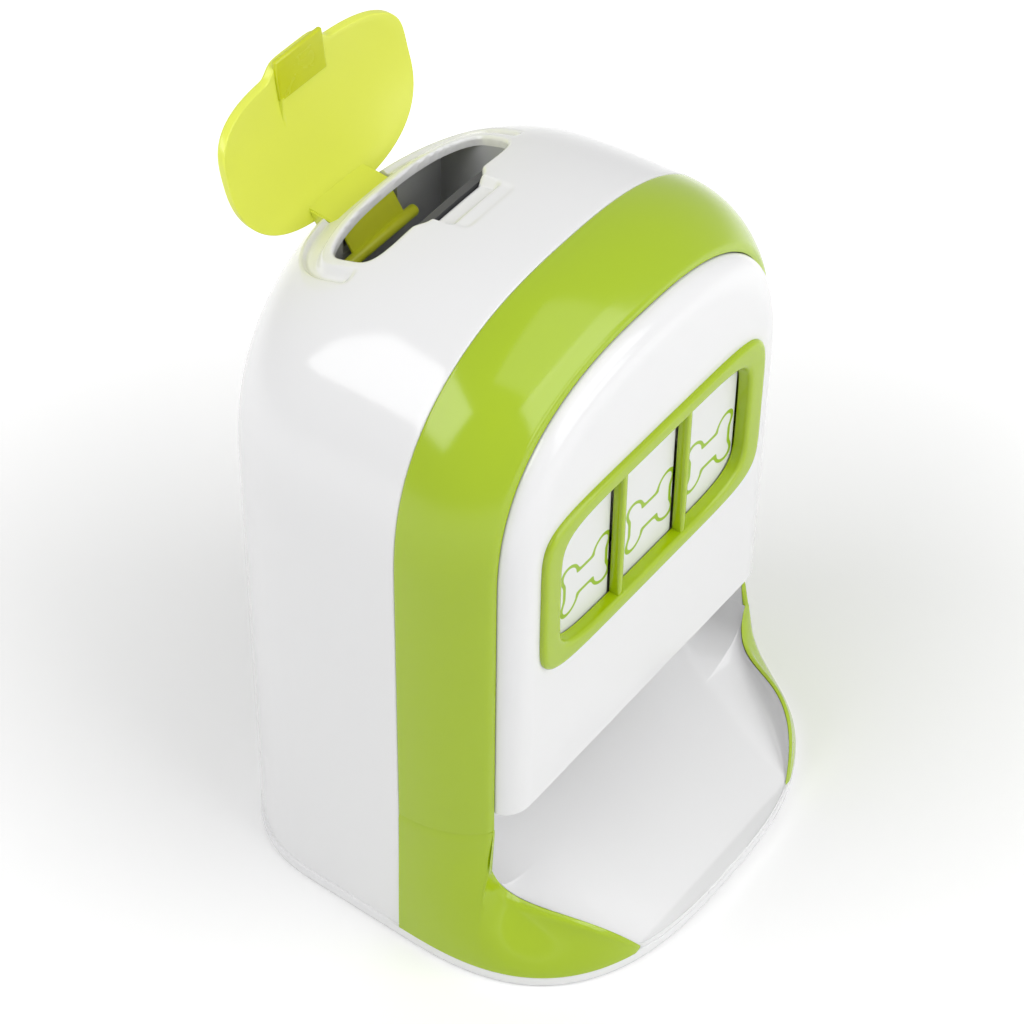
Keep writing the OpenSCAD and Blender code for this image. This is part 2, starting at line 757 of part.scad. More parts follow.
// Lid as it lies when shut: a domed plate, its tab, and a neck with two knuckles
module shut_lid() {
    front_depths = [for (k = [0:lid_steps - 1])
        lid_mid - (lid_mid - lid_front) * pow(cos(90 * (k + 0.6) / (lid_steps + 0.6)), 2 / lid_front_n)];
    rear_depths = [for (k = [0:lid_steps]) lid_mid + (lid_rear - lid_mid) * sin(90 * k / lid_steps)];
    tab_tilt = atan((crown(tab_rear) - crown(tab_front)) / (tab_rear - tab_front));
    difference() {
        union() {
            loft([for (y = concat(front_depths, rear_depths)) lid_loop(y)]);
            along_x(-bump_half, bump_half)
                polygon([
                    [lid_front - bump_reach, crown(lid_front - bump_reach) + lid_gap],
                    [lid_front + 3, crown(lid_front + 3) + lid_gap],
                    [lid_front + 3, crown(lid_front + 3) + lid_gap + lid_t - 0.3],
                    [lid_front - bump_reach, crown(lid_front - bump_reach) + lid_gap + lid_t - 0.3]
                ]);
            along_x(-knuckle_in - 1, knuckle_in + 1)
                polygon([
                    [hinge_y - knuckle_r + 0.4, hinge_z + knuckle_r + 0.5],
                    [hinge_y + knuckle_r - 0.4, hinge_z + knuckle_r + 0.5],
                    [hinge_y + knuckle_r - 0.4, crown(hinge_y + knuckle_r) + lid_gap + 1],
                    [hinge_y - knuckle_r + 0.4, crown(hinge_y) + lid_gap + 1]
                ]);
            translate([-tab_w / 2, tab_front, crown(tab_front) + lid_gap - tab_t + 0.3])
                rotate([tab_tilt, 0, 0])
                    cube([tab_w, (tab_rear - tab_front) / cos(tab_tilt), tab_t]);
            mirror_pair() {
                rod(knuckle_in, neck_half, hinge_y, hinge_z, knuckle_r);
                along_x(knuckle_in, neck_half)
                    polygon([
                        [hinge_y - knuckle_r + 0.4, hinge_z], [hinge_y + knuckle_r - 0.4, hinge_z],
                        [hinge_y + knuckle_r - 0.4, crown(hinge_y + knuckle_r) + lid_gap + 1],
                        [hinge_y - knuckle_r + 0.4, crown(hinge_y) + lid_gap + 1]
                    ]);
            }
        }
        rod(-body_w, body_w, hinge_y, hinge_z, hinge_pin_r + run_gap);
    }
}

// The lid stands open, leaning back on its stop
module lid() {
    color(lid_green)
        translate([0, hinge_y, hinge_z])
            rotate([-lid_swing, 0, 0])
                translate([0, -hinge_y, -hinge_z])
                    shut_lid();
}

module hinge_pin() {
    color(steel)
        rod(-hinge_reach, hinge_reach, hinge_y, hinge_z, hinge_pin_r);
}

// Strap from the hinge pin under the mouth's rear edge, ending in a cross bar
module hinge_strap() {
    wide_y = hinge_y - knuckle_r - 0.6;
    slope = (hinge_z - 1.2 - strap_z) / (wide_y - strap_y);
    color(green)
        difference() {
            union() {
                rod(-knuckle_in + fit_gap, knuckle_in - fit_gap, hinge_y, hinge_z, knuckle_r);
                along_x(-knuckle_in + fit_gap, knuckle_in - fit_gap)
                    polygon([
                        [wide_y - 1, hinge_z - 1.2 - slope], [hinge_y, hinge_z - knuckle_r + 0.2],
                        [hinge_y, hinge_z + 0.6], [wide_y - 1, hinge_z - 1.2 - slope + strap_t]
                    ]);
                along_x(-strap_half, strap_half)
                    polygon([
                        [strap_y, strap_z - strap_t / 2], [wide_y, hinge_z - 1.2],
                        [wide_y, hinge_z - 1.2 + strap_t], [strap_y, strap_z + strap_t / 2]
                    ]);
                rod(-cross_bar_half, cross_bar_half, strap_y, strap_z, cross_bar_r);
            }
            rod(-body_w, body_w, hinge_y, hinge_z, hinge_pin_r);
        }
}

// Axes that a belt runs round, and the tangents between them at a distance
belt_axes = [[guide_y, window_z + guide_rise], [roller_y, roller_z], [guide_y, window_z - guide_rise]];
function tangent(p, q, r) = let (d = (q - p) / norm(q - p), n = [-d[1], d[0]]) [p + r * n, q + r * n];
function belt_path(r) = [for (k = [0:2]) each tangent(belt_axes[k], belt_axes[(k + 1) % 3], r)];

// Space inside a belt, at a distance from the axes
module belt_core(x, half, r) {
    along_x(x - half, x + half)
        polygon(belt_path(r));
    for (p = belt_axes)
        rod(x - half, x + half, p[0], p[1], r);
}

// Printed belt over the three rollers, with its flat run behind a pane
module belt(x) {
    color("#e4e4e2")
        difference() {
            belt_core(x, belt_w / 2, roller_r + belt_gap + belt_t);
            belt_core(x, belt_w, roller_r + belt_gap);
        }
}

module belt_left() {
    belt(-pane_pitch);
}

module belt_centre() {
    belt(0);
}

module belt_right() {
    belt(pane_pitch);
}

// Roller that turns the belts above or below the window
module guide_roller(z) {
    color(cream) {
        rod(-belts_half, belts_half, guide_y, z, roller_r);
        rod(-chassis_x - chassis_t, chassis_x + chassis_t, guide_y, z, roller_shaft_r);
    }
}

module upper_roller() {
    guide_roller(window_z + guide_rise);
}

module lower_roller() {
    guide_roller(window_z - guide_rise);
}

// Roller that drives all three belts
module drive_roller() {
    color(cream)
        difference() {
            rod(-belts_half, belts_half, roller_y, roller_z, roller_r);
            rod(-body_w, body_w, roller_y, roller_z, roller_shaft_r);
        }
}

module roller_shaft() {
    color(steel)
        rod(-chassis_x - chassis_t - 2, gear_x + gear_w + 2, roller_y, roller_z, roller_shaft_r);
}

// Spur gear lying across X, with straight-sided teeth
module gear(teeth, y, z, turn, bore, hub_r) {
    pitch_r = tooth_module * teeth / 2;
    tip_r = pitch_r + 0.85 * tooth_module;
    root_r = pitch_r - 1.2 * tooth_module;
    play = 0.26 * tooth_module;
    function flank(r) = ((PI * tooth_module / 4 - play / 2 - (r - pitch_r) * tan(20)) / r) * 180 / PI;
    spots = [for (k = [0:teeth - 1], s = [[root_r, -1], [tip_r, -1], [tip_r, 1], [root_r, 1]])
        let (a = turn + 360 * k / teeth + s[1] * flank(s[0])) s[0] * [cos(a), sin(a)]];
    difference() {
        union() {
            along_x(gear_x, gear_x + gear_w)
                translate([y, z])
                    polygon(spots);
            rod(gear_x, gear_x + gear_w + 1, y, z, hub_r);
        }
        rod(gear_x - 1, gear_x + gear_w + 2, y, z, bore);
    }
}

module roller_gear() {
    color(cream)
        gear(roller_teeth, roller_y, roller_z, roller_turn, roller_shaft_r, roller_shaft_r + 3);
}

module idler_gear() {
    color("#d9a441")
        gear(idler_teeth, idler_y, idler_z, idler_turn, idler_pin_r + run_gap, idler_pin_r + 3);
}

module idler_pin() {
    color(steel) {
        rod(chassis_x, gear_x + gear_w + 1.3, idler_y, idler_z, idler_pin_r);
        rod(gear_x + gear_w + 1.3, gear_x + gear_w + 2.3, idler_y, idler_z, idler_pin_r + 1);
    }
}

// Four-pocket rotor that lets a few treats through at each turn
module dispense_rotor() {
    vane_t = 3;
    hub_r = rotor_shaft_r + 4;
    color("#d8d8d4")
        difference() {
            union() {
                rod(-rotor_w / 2, rotor_w / 2, rotor_y, rotor_z, hub_r);
                for (a = [0:90:270])
                    along_x(-rotor_w / 2, rotor_w / 2)
                        translate([rotor_y, rotor_z])
                            rotate(a)
                                translate([hub_r - 1, -vane_t / 2])
                                    square([rotor_r - hub_r + 1, vane_t]);
            }
            rod(-rotor_w, rotor_w, rotor_y, rotor_z, rotor_shaft_r);
        }
}

module rotor_shaft() {
    color(steel)
        rod(-trough_half - trough_t - 2, gear_x + gear_w + 2, rotor_y, rotor_z, rotor_shaft_r);
}

module rotor_gear() {
    color(cream)
        gear(rotor_teeth, rotor_y, rotor_z, rotor_turn, rotor_shaft_r, rotor_shaft_r + 3);
}

// Pinion with the motor's output shaft
module motor_pinion() {
    color(steel) {
        gear(pinion_teeth, pinion_y, pinion_z, pinion_turn, motor_shaft_r, motor_shaft_r + 1.5);
        rod(chassis_x - 6, gear_x + gear_w + 1, pinion_y, pinion_z, motor_shaft_r);
    }
}

module drive_motor() {
    color(steel)
        difference() {
            union() {
                rod(chassis_x - motor_len, chassis_x, pinion_y, pinion_z, motor_r);
                rod(chassis_x - motor_len - 1.5, chassis_x - motor_len + 0.5, pinion_y, pinion_z, motor_r / 3);
            }
            rod(chassis_x - 6 - fit_gap, chassis_x + 1, pinion_y, pinion_z, motor_shaft_r + run_gap);
        }
}

// Box that holds the cells above the base plate's opening
module battery_box() {
    color(black)
        difference() {
            translate([-box_in_x - box_t, box_y - box_half_y - box_t, plate_h])
                cube([2 * (box_in_x + box_t), 2 * (box_half_y + box_t), box_h + box_t]);
            translate([-box_in_x, box_y - box_half_y, plate_h - 1])
                cube([2 * box_in_x, 2 * box_half_y, box_h + 1]);
        }
}

function cell_y(k) = box_y + (k - (cell_count - 1) / 2) * cell_pitch;
cell_z = plate_h + box_h - cell_d / 2 - 0.4;

module batteries() {
    color("#3b6ea5")
        for (k = [0:cell_count - 1]) {
            rod(-cell_x + 1, cell_x - 1, cell_y(k), cell_z, cell_d / 2);
            rod(-cell_x, -cell_x + 1, cell_y(k), cell_z, cell_d / 5);
            rod(cell_x - 1, cell_x, cell_y(k), cell_z, cell_d / 3);
        }
}

// Sprung contact plates at both ends of each cell
module battery_contacts() {
    color(steel)
        mirror_pair()
            for (k = [0:cell_count - 1]) {
                translate([box_in_x - contact_t, cell_y(k) - cell_d / 2 + 2, cell_z - cell_d / 2 + 2])
                    cube([contact_t, cell_d - 4, cell_d - 2]);
                rod(cell_x + 0.1, box_in_x - contact_t + 0.1, cell_y(k), cell_z, cell_d / 6);
            }
}

module battery_door() {
    color(white)
        difference() {
            door_recess(0);
            translate([0, door_screw_y, -1])
                cylinder(h = plate_h, r = screw_r);
            translate([0, door_screw_y, -1])
                cylinder(h = 2, r = screw_head_r);
        }
}

// Pan-head screw, head down
module screw(length, head_h) {
    cylinder(h = head_h, r = screw_head_r);
    cylinder(h = length, r = screw_r);
}

module door_screw() {
    color(steel)
        translate([0, door_screw_y, 0.2])
            screw(plate_h - 0.4, 0.8);
}

module base_screws() {
    color(steel)
        for (side = [-1, 1], y = screw_y)
            translate([side * screw_x, y, 0.5])
                screw(plate_h + flange_h - 3.5, screw_head_h);
}

// Slide switch behind the rear wall
module switch_body() {
    inner_y = rear_reach - wall - rear_flat - 0.2;
    body_d = 7;
    color(black)
        translate([-(switch_travel + 14) / 2, inner_y - body_d, switch_z - 5])
            cube([switch_travel + 14, body_d - fit_gap, 10]);
}

module switch_knob() {
    inner_y = rear_reach - wall - rear_flat - 0.2;
    knob_w = 5;
    color(black)
        translate([-switch_travel / 2 - knob_w / 2, inner_y - 0.1, switch_z - 2.2])
            cube([knob_w, wall + 2.2, 4.4]);
}

module rubber_feet() {
    color(dark_grey)
        for (side = [-1, 1], p = pad_places)
            translate([side * p[0], p[1], 0])
                cylinder(h = pad_h, r = pad_r);
}

rear_shell();
front_arch();
front_panel();
window_frame();
base_plate();
side_foot_left();
side_foot_right();
treat_tray();
hopper();
chute();
chassis_left();
chassis_right();
lid();
hinge_pin();
hinge_strap();
belt_left();
belt_centre();
belt_right();
upper_roller();
lower_roller();
drive_roller();
roller_shaft();
roller_gear();
idler_gear();
idler_pin();
dispense_rotor();
rotor_shaft();
rotor_gear();
motor_pinion();
drive_motor();
circuit_board();
battery_box();
batteries();
battery_contacts();
battery_door();
door_screw();
switch_body();
switch_knob();
base_screws();
rubber_feet();
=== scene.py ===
"""The looks of a remote treat dispenser: an arch-topped housing in white and lime green."""
import math

import bmesh
import bpy
import numpy as np
from mathutils import Matrix, Vector


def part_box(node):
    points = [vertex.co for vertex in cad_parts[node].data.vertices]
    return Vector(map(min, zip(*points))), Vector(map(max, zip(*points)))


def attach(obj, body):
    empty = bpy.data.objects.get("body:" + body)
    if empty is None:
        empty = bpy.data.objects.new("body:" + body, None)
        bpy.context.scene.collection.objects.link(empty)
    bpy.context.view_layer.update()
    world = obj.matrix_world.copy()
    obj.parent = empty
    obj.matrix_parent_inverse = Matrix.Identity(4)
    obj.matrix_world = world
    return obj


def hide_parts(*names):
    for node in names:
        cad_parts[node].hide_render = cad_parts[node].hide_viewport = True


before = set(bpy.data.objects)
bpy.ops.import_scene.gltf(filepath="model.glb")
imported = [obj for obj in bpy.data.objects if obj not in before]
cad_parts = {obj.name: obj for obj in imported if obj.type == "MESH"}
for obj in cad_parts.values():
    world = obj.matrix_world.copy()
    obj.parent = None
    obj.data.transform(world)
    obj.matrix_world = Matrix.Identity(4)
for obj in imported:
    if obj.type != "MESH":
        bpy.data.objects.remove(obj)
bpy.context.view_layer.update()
MM = 0.001

# Sizes of the housing in millimetres, as in the part's source
BODY_HALF, BODY_H, REAR, FRONT = 82.5, 245.0, 84.0, 76.0
SPRING, WALL, PLATE_H, SEAM_H = 169.0, 2.5, 5.0, 63.0
BAND_REAR, BAND_FRONT = -3.0, -31.0
PANEL_Y, PANEL_FOOT, PANEL_ROLL = -38.0, 71.5, 11.0
WINDOW_Z, FRAME_W, FRAME_H, FRAME_BORDER = 158.0, 110.0, 64.0, 6.0
PANE_PITCH, BELT_W, BELT_T, BELT_IN = 33.5, 30.0, 1.0, 7.1
GUIDE_Y, GUIDE_RISE, DRIVE_Y = -27.0, 33.0, -3.0
MOUTH_W, MOUTH_FRONT, MOUTH_REAR = 70.0, 42.0, 63.0
ARCH_N, NOSE_DEPTH, NOSE_N, NOSE_R = 2.55, 50.0, 2.5, 37.4
TAIL_START, TAIL_N, CROWN_Y, CROWN_DROP, CROWN_N = 33.0, 2.5, -5.0, 41.0, 2.1
BASE_HALF, BASE_N = 83.5, 2.75
LID_FRONT, LID_MID, LID_REAR, LID_HALF, LID_GAP, LID_T = 31.2, 50.0, 75.7, 42.5, 0.8, 3.1
HINGE_Y, HINGE_DEPTH, LID_SWING = 74.7, 6.1, 85.0
KNUCKLE_R, EYE_R, EYE_HALF, NECK_HALF = 2.55, 2.1, 4.7, 13.7
TAB_HALF, TAB_FRONT, TAB_LENGTH, TAB_T, BUMP_HALF = 11.0, 25.5, 14.3, 1.9, 12.6
EDGE_R, SEAM_LINE = 1.2, 0.12
# Seam between shell and band: distances from it, and depths under the surface
SEAM_EDGE = ((0.02, WALL), (0.02, 0.35), (0.18, 0.1))


# Curves of the housing
def bow(u, n):
    """Height of a curve that is 1 in its middle and 0 at its end."""
    return np.maximum(0.0, 1.0 - np.clip(u, 0.0, 1.0) ** n) ** (1.0 / n)


def ease(u):
    """Smooth step from 0 to 1."""
    u = np.clip(u, 0.0, 1.0)
    return u * u * (3.0 - 2.0 * u)


def half_width(y, d=0.0):
    """Half the housing's width at a depth, at a distance under its surface."""
    y = np.asarray(y, float)
    nose = bow(-y / (NOSE_DEPTH - d), NOSE_N)
    tail = bow((y - TAIL_START) / (REAR - d - TAIL_START), TAIL_N)
    return (BODY_HALF - d) * np.where(y < 0, nose, np.where(y > TAIL_START, tail, 1.0))


def crown(y, d=0.0):
    """Height of the housing's middle line, at a distance under its surface."""
    y = np.asarray(y, float)
    nose = BODY_H - NOSE_R + np.sqrt(np.maximum(0.0, (NOSE_R - d) ** 2 - (CROWN_Y - y) ** 2))
    back = BODY_H - d - CROWN_DROP * (1.0 - bow((y - CROWN_Y) / (REAR - d - CROWN_Y), CROWN_N))
    return np.where(y < CROWN_Y, nose, back)


def roof(x, y):
    """Height of the housing's surface above a point of the plan."""
    return SPRING + (crown(y) - SPRING) * bow(np.abs(x) / np.maximum(half_width(y), 1e-6), ARCH_N)


HINGE_Z = float(crown(HINGE_Y)) - HINGE_DEPTH
BELT_LENGTH = (2 * GUIDE_RISE + 2 * math.hypot(DRIVE_Y - GUIDE_Y, GUIDE_RISE)
               + 2 * math.pi * (BELT_IN + BELT_T))


def arch_loop(y, w, top, foot, steps=96):
    """Arch-shaped loop, from its right foot over the top to its left foot."""
    a = np.linspace(0.0, math.pi, steps + 1)
    c, s = np.cos(a), np.sin(a)
    x = w * np.sign(c) * np.abs(c) ** (2 / ARCH_N)
    z = SPRING + (top - SPRING) * np.abs(s) ** (2 / ARCH_N)
    x = np.concatenate([[w], x, [-w]])
    z = np.concatenate([[foot], z, [foot]])
    return np.stack([x, np.full_like(x, y), z], -1)


def body_loop(y, d, foot):
    """Slice of the housing at a depth, at a distance under its surface."""
    return arch_loop(y, float(half_width(y, d)), float(crown(y, d)), foot)


def base_half_width(y):
    """Half the base's width in front of the shell."""
    return BASE_HALF * bow((BAND_REAR - np.asarray(y, float)) / (FRONT + BAND_REAR), BASE_N)


def base_outline(inset=0.0, steps=60):
    """Plan of the base, anticlockwise from its right side, drawn in by an inset."""
    t = np.linspace(0.0, math.pi / 2, steps + 1)
    c, s = np.cos(t), np.sin(t)
    front = np.stack([(BASE_HALF - inset) * c ** (2 / BASE_N),
                      BAND_REAR - (FRONT + BAND_REAR - inset) * s ** (2 / BASE_N)], -1)
    rear = np.stack([(BASE_HALF - inset) * c ** (2 / TAIL_N),
                     TAIL_START + (REAR - TAIL_START - inset) * s ** (2 / TAIL_N)], -1)
    flip = np.array([-1.0, 1.0])
    return np.concatenate([front, (front * flip)[-2::-1], rear * flip, rear[-2::-1]])


def oblong(w, h, n, steps=120):
    """Rounded oblong round the origin, more square for a larger n."""
    t = np.linspace(0.0, 2 * math.pi, steps, endpoint=False)
    x, y = (np.sign(v) * np.abs(v) ** (2 / n) for v in (np.cos(t), np.sin(t)))
    return np.stack([w / 2 * x, h / 2 * y], -1)


def circle(radius, steps):
    """Points round the origin."""
    t = np.linspace(0.0, 2 * math.pi, steps, endpoint=False)
    return radius * np.stack([np.cos(t), np.sin(t)], -1)


def arc(first, last, steps):
    """Sines and cosines of even steps between two angles in degrees."""
    a = np.radians(np.linspace(first, last, steps))
    return list(zip(np.sin(a), np.cos(a)))


def signed_distance(x, y, outline):
    """Distance of plan points from a closed outline, negative inside, and the nearest outline points."""
    p = np.stack([np.ravel(x), np.ravel(y)], -1)
    a = np.asarray(outline, float)
    b = np.roll(a, -1, 0)
    side = b - a
    best = np.full(len(p), 1e9)
    near = np.zeros_like(p)
    inside = np.zeros(len(p), bool)
    for i in range(len(a)):
        t = np.clip(((p - a[i]) @ side[i]) / max(1e-12, side[i] @ side[i]), 0.0, 1.0)
        q = a[i] + t[:, None] * side[i]
        d = np.hypot(*(p - q).T)
        closer = d < best
        best[closer], near[closer] = d[closer], q[closer]
        crosses = (a[i, 1] > p[:, 1]) != (b[i, 1] > p[:, 1])
        rise = side[i, 1] if abs(side[i, 1]) > 1e-12 else 1e-12
        inside ^= crosses & (p[:, 0] < side[i, 0] * (p[:, 1] - a[i, 1]) / rise + a[i, 0])
    return np.where(inside, -best, best).reshape(np.shape(x)), near.reshape(np.shape(x) + (2,))


# Making meshes
def skin(rows, columns, wrap=False, start=0):
    """Faces of a grid of points stored row by row."""
    last = columns if wrap else columns - 1
    return [(start + i * columns + j, start + i * columns + (j + 1) % columns,
             start + (i + 1) * columns + (j + 1) % columns, start + (i + 1) * columns + j)
            for i in range(rows - 1) for j in range(last)]


def tube(rows, columns):
    """Faces round a row of closed loops, with a cap at each end."""
    last = (rows - 1) * columns
    return skin(rows, columns, wrap=True) + [tuple(range(columns)), tuple(range(last, last + columns))]


def piece(name, points, faces, finish, body, stands_for=(), sharp=38.0):
    """Piece from points in millimetres."""
    bm = bmesh.new()
    verts = [bm.verts.new(tuple(p)) for p in np.asarray(points, float).reshape(-1, 3)]
    for face in faces:
        bm.faces.new([verts[i] for i in face])
    bmesh.ops.remove_doubles(bm, verts=bm.verts, dist=0.002)
    return place(name, metric_mesh(bm, name), finish, body, stands_for, sharp)


def metric_mesh(bm, name):
    """Mesh in metres from a bmesh in millimetres."""
    bmesh.ops.recalc_face_normals(bm, faces=bm.faces)
    bmesh.ops.scale(bm, vec=(MM, MM, MM), verts=bm.verts)
    mesh = bpy.data.meshes.new(name)
    bm.to_mesh(mesh)
    bm.free()
    return mesh


def place(name, mesh, finish, body, stands_for=(), sharp=38.0):
    """Named piece that rides a body and stands for nodes of the frame."""
    mesh.shade_smooth()
    mesh.set_sharp_from_angle(angle=math.radians(sharp))
    mesh.materials.clear()
    mesh.materials.append(finish)
    obj = bpy.data.objects.new(name, mesh)
    bpy.context.scene.collection.objects.link(obj)
    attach(obj, body)
    if stands_for:
        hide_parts(*stands_for)
    return obj


def round_edges(obj, width, angle=40.0, segments=3):
    """Rounds the sharp edges of a simple piece."""
    bevel = obj.modifiers.new("round_edges", "BEVEL")
    bevel.width = width * MM
    bevel.segments = segments
    bevel.limit_method = "ANGLE"
    bevel.angle_limit = math.radians(angle)


def ring_edges(bm, verts):
    """Edges round a ring of vertices, made where they are missing."""
    return [bm.edges.get((verts[i], verts[(i + 1) % len(verts)]))
            or bm.edges.new((verts[i], verts[(i + 1) % len(verts)])) for i in range(len(verts))]


def fill_face(bm, outer, holes, normal):
    """Flat face inside a ring of vertices, less its holes."""
    edges = ring_edges(bm, outer)
    for hole in holes:
        edges += ring_edges(bm, hole)
    bmesh.ops.triangle_fill(bm, use_beauty=True, use_dissolve=False, edges=edges, normal=normal)


def stitch(bm, loops):
    """Faces between closed loops of vertices that follow each other."""
    for a, b in zip(loops, loops[1:]):
        for j in range(len(a)):
            k = (j + 1) % len(a)
            bm.faces.new((a[j], a[k], b[k], b[j]))


def draw_out(bm, edges, shift):
    """Wall from open edges."""
    made = bmesh.ops.extrude_edge_only(bm, edges=edges)
    for v in (g for g in made["geom"] if isinstance(g, bmesh.types.BMVert)):
        v.co += Vector(shift)


# Shared finishes
def group(name, inputs, outputs):
    """Empty shader node group with named sockets."""
    tree = bpy.data.node_groups.new(name, "ShaderNodeTree")
    for label, kind, value in inputs:
        socket = tree.interface.new_socket(name=label, in_out="INPUT", socket_type=kind)
        socket.default_value = value
    for label, kind in outputs:
        tree.interface.new_socket(name=label, in_out="OUTPUT", socket_type=kind)
    return tree, tree.nodes.new("NodeGroupInput"), tree.nodes.new("NodeGroupOutput")


def node(tree, kind, **settings):
    """Adds a node; settings name its properties, or its inputs by their label."""
    made = tree.nodes.new(kind)
    for key, value in settings.items():
        if hasattr(made, key):
            setattr(made, key, value)
        else:
            made.inputs[key.replace("_", " ")].default_value = value
    return made


def math_node(tree, operation, *values):
    """Result of one step of arithmetic on sockets and numbers."""
    made = tree.nodes.new("ShaderNodeMath")
    made.operation = operation
    for socket, value in zip(made.inputs, values):
        if isinstance(value, bpy.types.NodeSocket):
            tree.links.new(value, socket)
        else:
            socket.default_value = value
    return made.outputs[0]


def remap(tree, value, low, high, to_low=0.0, to_high=1.0):
    """Smooth step of a value from one range to another."""
    made = tree.nodes.new("ShaderNodeMapRange")
    made.interpolation_type = "SMOOTHSTEP"
    tree.links.new(value, made.inputs["Value"])
    for label, number in (("From Min", low), ("From Max", high), ("To Min", to_low), ("To Max", to_high)):
        made.inputs[label].default_value = number
    return made.outputs["Result"]


def shaded(tree, colour, share):
    """Colour made lighter or darker by a share."""
    tint = tree.nodes.new("ShaderNodeVectorMath")
    tint.operation = "SCALE"
    tree.links.new(colour, tint.inputs[0])
    tree.links.new(share, tint.inputs["Scale"])
    return tint.outputs["Vector"]


COLOUR, VALUE = "NodeSocketColor", "NodeSocketFloat"
SURFACE = [("Color", COLOUR), ("Roughness", VALUE), ("Height", VALUE)]


def moulded_group():
    """Moulded plastic: faint cloudiness, flow marks, orange peel and fine handling haze."""
    tree, inner, outer = group(
        "moulded_plastic",
        [("Color", COLOUR, (0.8, 0.8, 0.8, 1.0)), ("Cloud", VALUE, 0.03), ("Gloss", VALUE, 0.2),
         ("Haze", VALUE, 0.08), ("Peel", VALUE, 0.05)], SURFACE)
    place_at = node(tree, "ShaderNodeTexCoord").outputs["Object"]
    cloud = node(tree, "ShaderNodeTexNoise", Scale=26.0, Detail=3.0, Roughness=0.55)
    fine = node(tree, "ShaderNodeTexNoise", Scale=1400.0, Detail=2.0, Roughness=0.5)
    wipe = node(tree, "ShaderNodeTexNoise", Scale=90.0, Detail=5.0, Roughness=0.6, Distortion=1.2)
    for texture in (cloud, fine, wipe):
        tree.links.new(place_at, texture.inputs["Vector"])
    swing = math_node(tree, "SUBTRACT", cloud.outputs["Fac"], 0.5)
    shade = math_node(tree, "MULTIPLY_ADD", swing, inner.outputs["Cloud"], 1.0)
    tree.links.new(shaded(tree, inner.outputs["Color"], shade), outer.inputs["Color"])
    marks = remap(tree, wipe.outputs["Fac"], 0.45, 0.75)
    dull = math_node(tree, "MULTIPLY", marks, inner.outputs["Haze"])
    tree.links.new(math_node(tree, "ADD", inner.outputs["Gloss"], dull), outer.inputs["Roughness"])
    peel = math_node(tree, "MULTIPLY", fine.outputs["Fac"], inner.outputs["Peel"])
    tree.links.new(peel, outer.inputs["Height"])
    return tree


def turned_group():
    """Turned or drawn metal: fine rings along X with a little tarnish."""
    tree, inner, outer = group(
        "turned_metal",
        [("Color", COLOUR, (0.6, 0.6, 0.62, 1.0)), ("Gloss", VALUE, 0.28), ("Tarnish", VALUE, 0.2)], SURFACE)
    place_at = node(tree, "ShaderNodeTexCoord").outputs["Object"]
    rings = node(tree, "ShaderNodeTexWave", wave_type="BANDS", bands_direction="X",
                 Scale=900.0, Distortion=2.0, Detail=2.0)
    stain = node(tree, "ShaderNodeTexNoise", Scale=160.0, Detail=4.0, Roughness=0.6)
    for texture in (rings, stain):
        tree.links.new(place_at, texture.inputs["Vector"])
    spots = remap(tree, stain.outputs["Fac"], 0.4, 0.75)
    dark = math_node(tree, "MULTIPLY", spots, inner.outputs["Tarnish"])
    bright = math_node(tree, "SUBTRACT", 1.0, dark)
    tree.links.new(shaded(tree, inner.outputs["Color"], bright), outer.inputs["Color"])
    streak = math_node(tree, "MULTIPLY", rings.outputs["Fac"], 0.1)
    tree.links.new(math_node(tree, "ADD", inner.outputs["Gloss"], streak), outer.inputs["Roughness"])
    tree.links.new(rings.outputs["Fac"], outer.inputs["Height"])
    return tree


def bone_group():
    """Mask of a printed bone outline, repeated along a belt whose UV is in centimetres."""
    bones, first, across, blur = 5, 0.8, 0.29, 0.008
    lobe_x, lobe_y, lobe_r, lean = 0.80, 0.61, 0.39, 0.25
    shaft_x, shaft_y, soft = 1.07, 0.49, 0.22
    tree, inner, outer = group("bone_print", [("Stroke", VALUE, 0.05)], [("Mask", VALUE)])
    split = node(tree, "ShaderNodeSeparateXYZ")
    tree.links.new(node(tree, "ShaderNodeUVMap", uv_map="belt").outputs["UV"], split.inputs[0])
    pitch = BELT_LENGTH / 10 / bones
    start = math_node(tree, "ADD", split.outputs["X"], pitch / 2 + first)
    up = math_node(tree, "SUBTRACT", math_node(tree, "FLOORED_MODULO", start, pitch), pitch / 2)
    x = math_node(tree, "ABSOLUTE", math_node(tree, "SUBTRACT", split.outputs["Y"], across))
    y = math_node(tree, "ABSOLUTE", up)
    # The lobes lean outward, away from the shaft
    off_y = math_node(tree, "SUBTRACT", y, lobe_y)
    off_x = math_node(tree, "SUBTRACT", math_node(tree, "SUBTRACT", x, lobe_x),
                      math_node(tree, "MULTIPLY", off_y, lean))
    square = math_node(tree, "ADD", math_node(tree, "MULTIPLY", off_x, off_x),
                       math_node(tree, "MULTIPLY", off_y, off_y))
    lobe = math_node(tree, "SUBTRACT", math_node(tree, "SQRT", square), lobe_r)
    shaft = math_node(tree, "MAXIMUM", math_node(tree, "SUBTRACT", x, shaft_x),
                      math_node(tree, "SUBTRACT", y, shaft_y))
    edge = math_node(tree, "ABSOLUTE", math_node(tree, "SMOOTH_MIN", lobe, shaft, soft))
    far = math_node(tree, "SUBTRACT", edge, inner.outputs["Stroke"])
    tree.links.new(remap(tree, far, -blur, blur, 1.0, 0.0), outer.inputs["Mask"])
    return tree


MOULDED = moulded_group()
TURNED = turned_group()
BONES = bone_group()


def finish(name):
    """New material with its node tree and its shader."""
    material = bpy.data.materials.new(name)
    material.use_nodes = True
    tree = material.node_tree
    return material, tree, tree.nodes["Principled BSDF"]


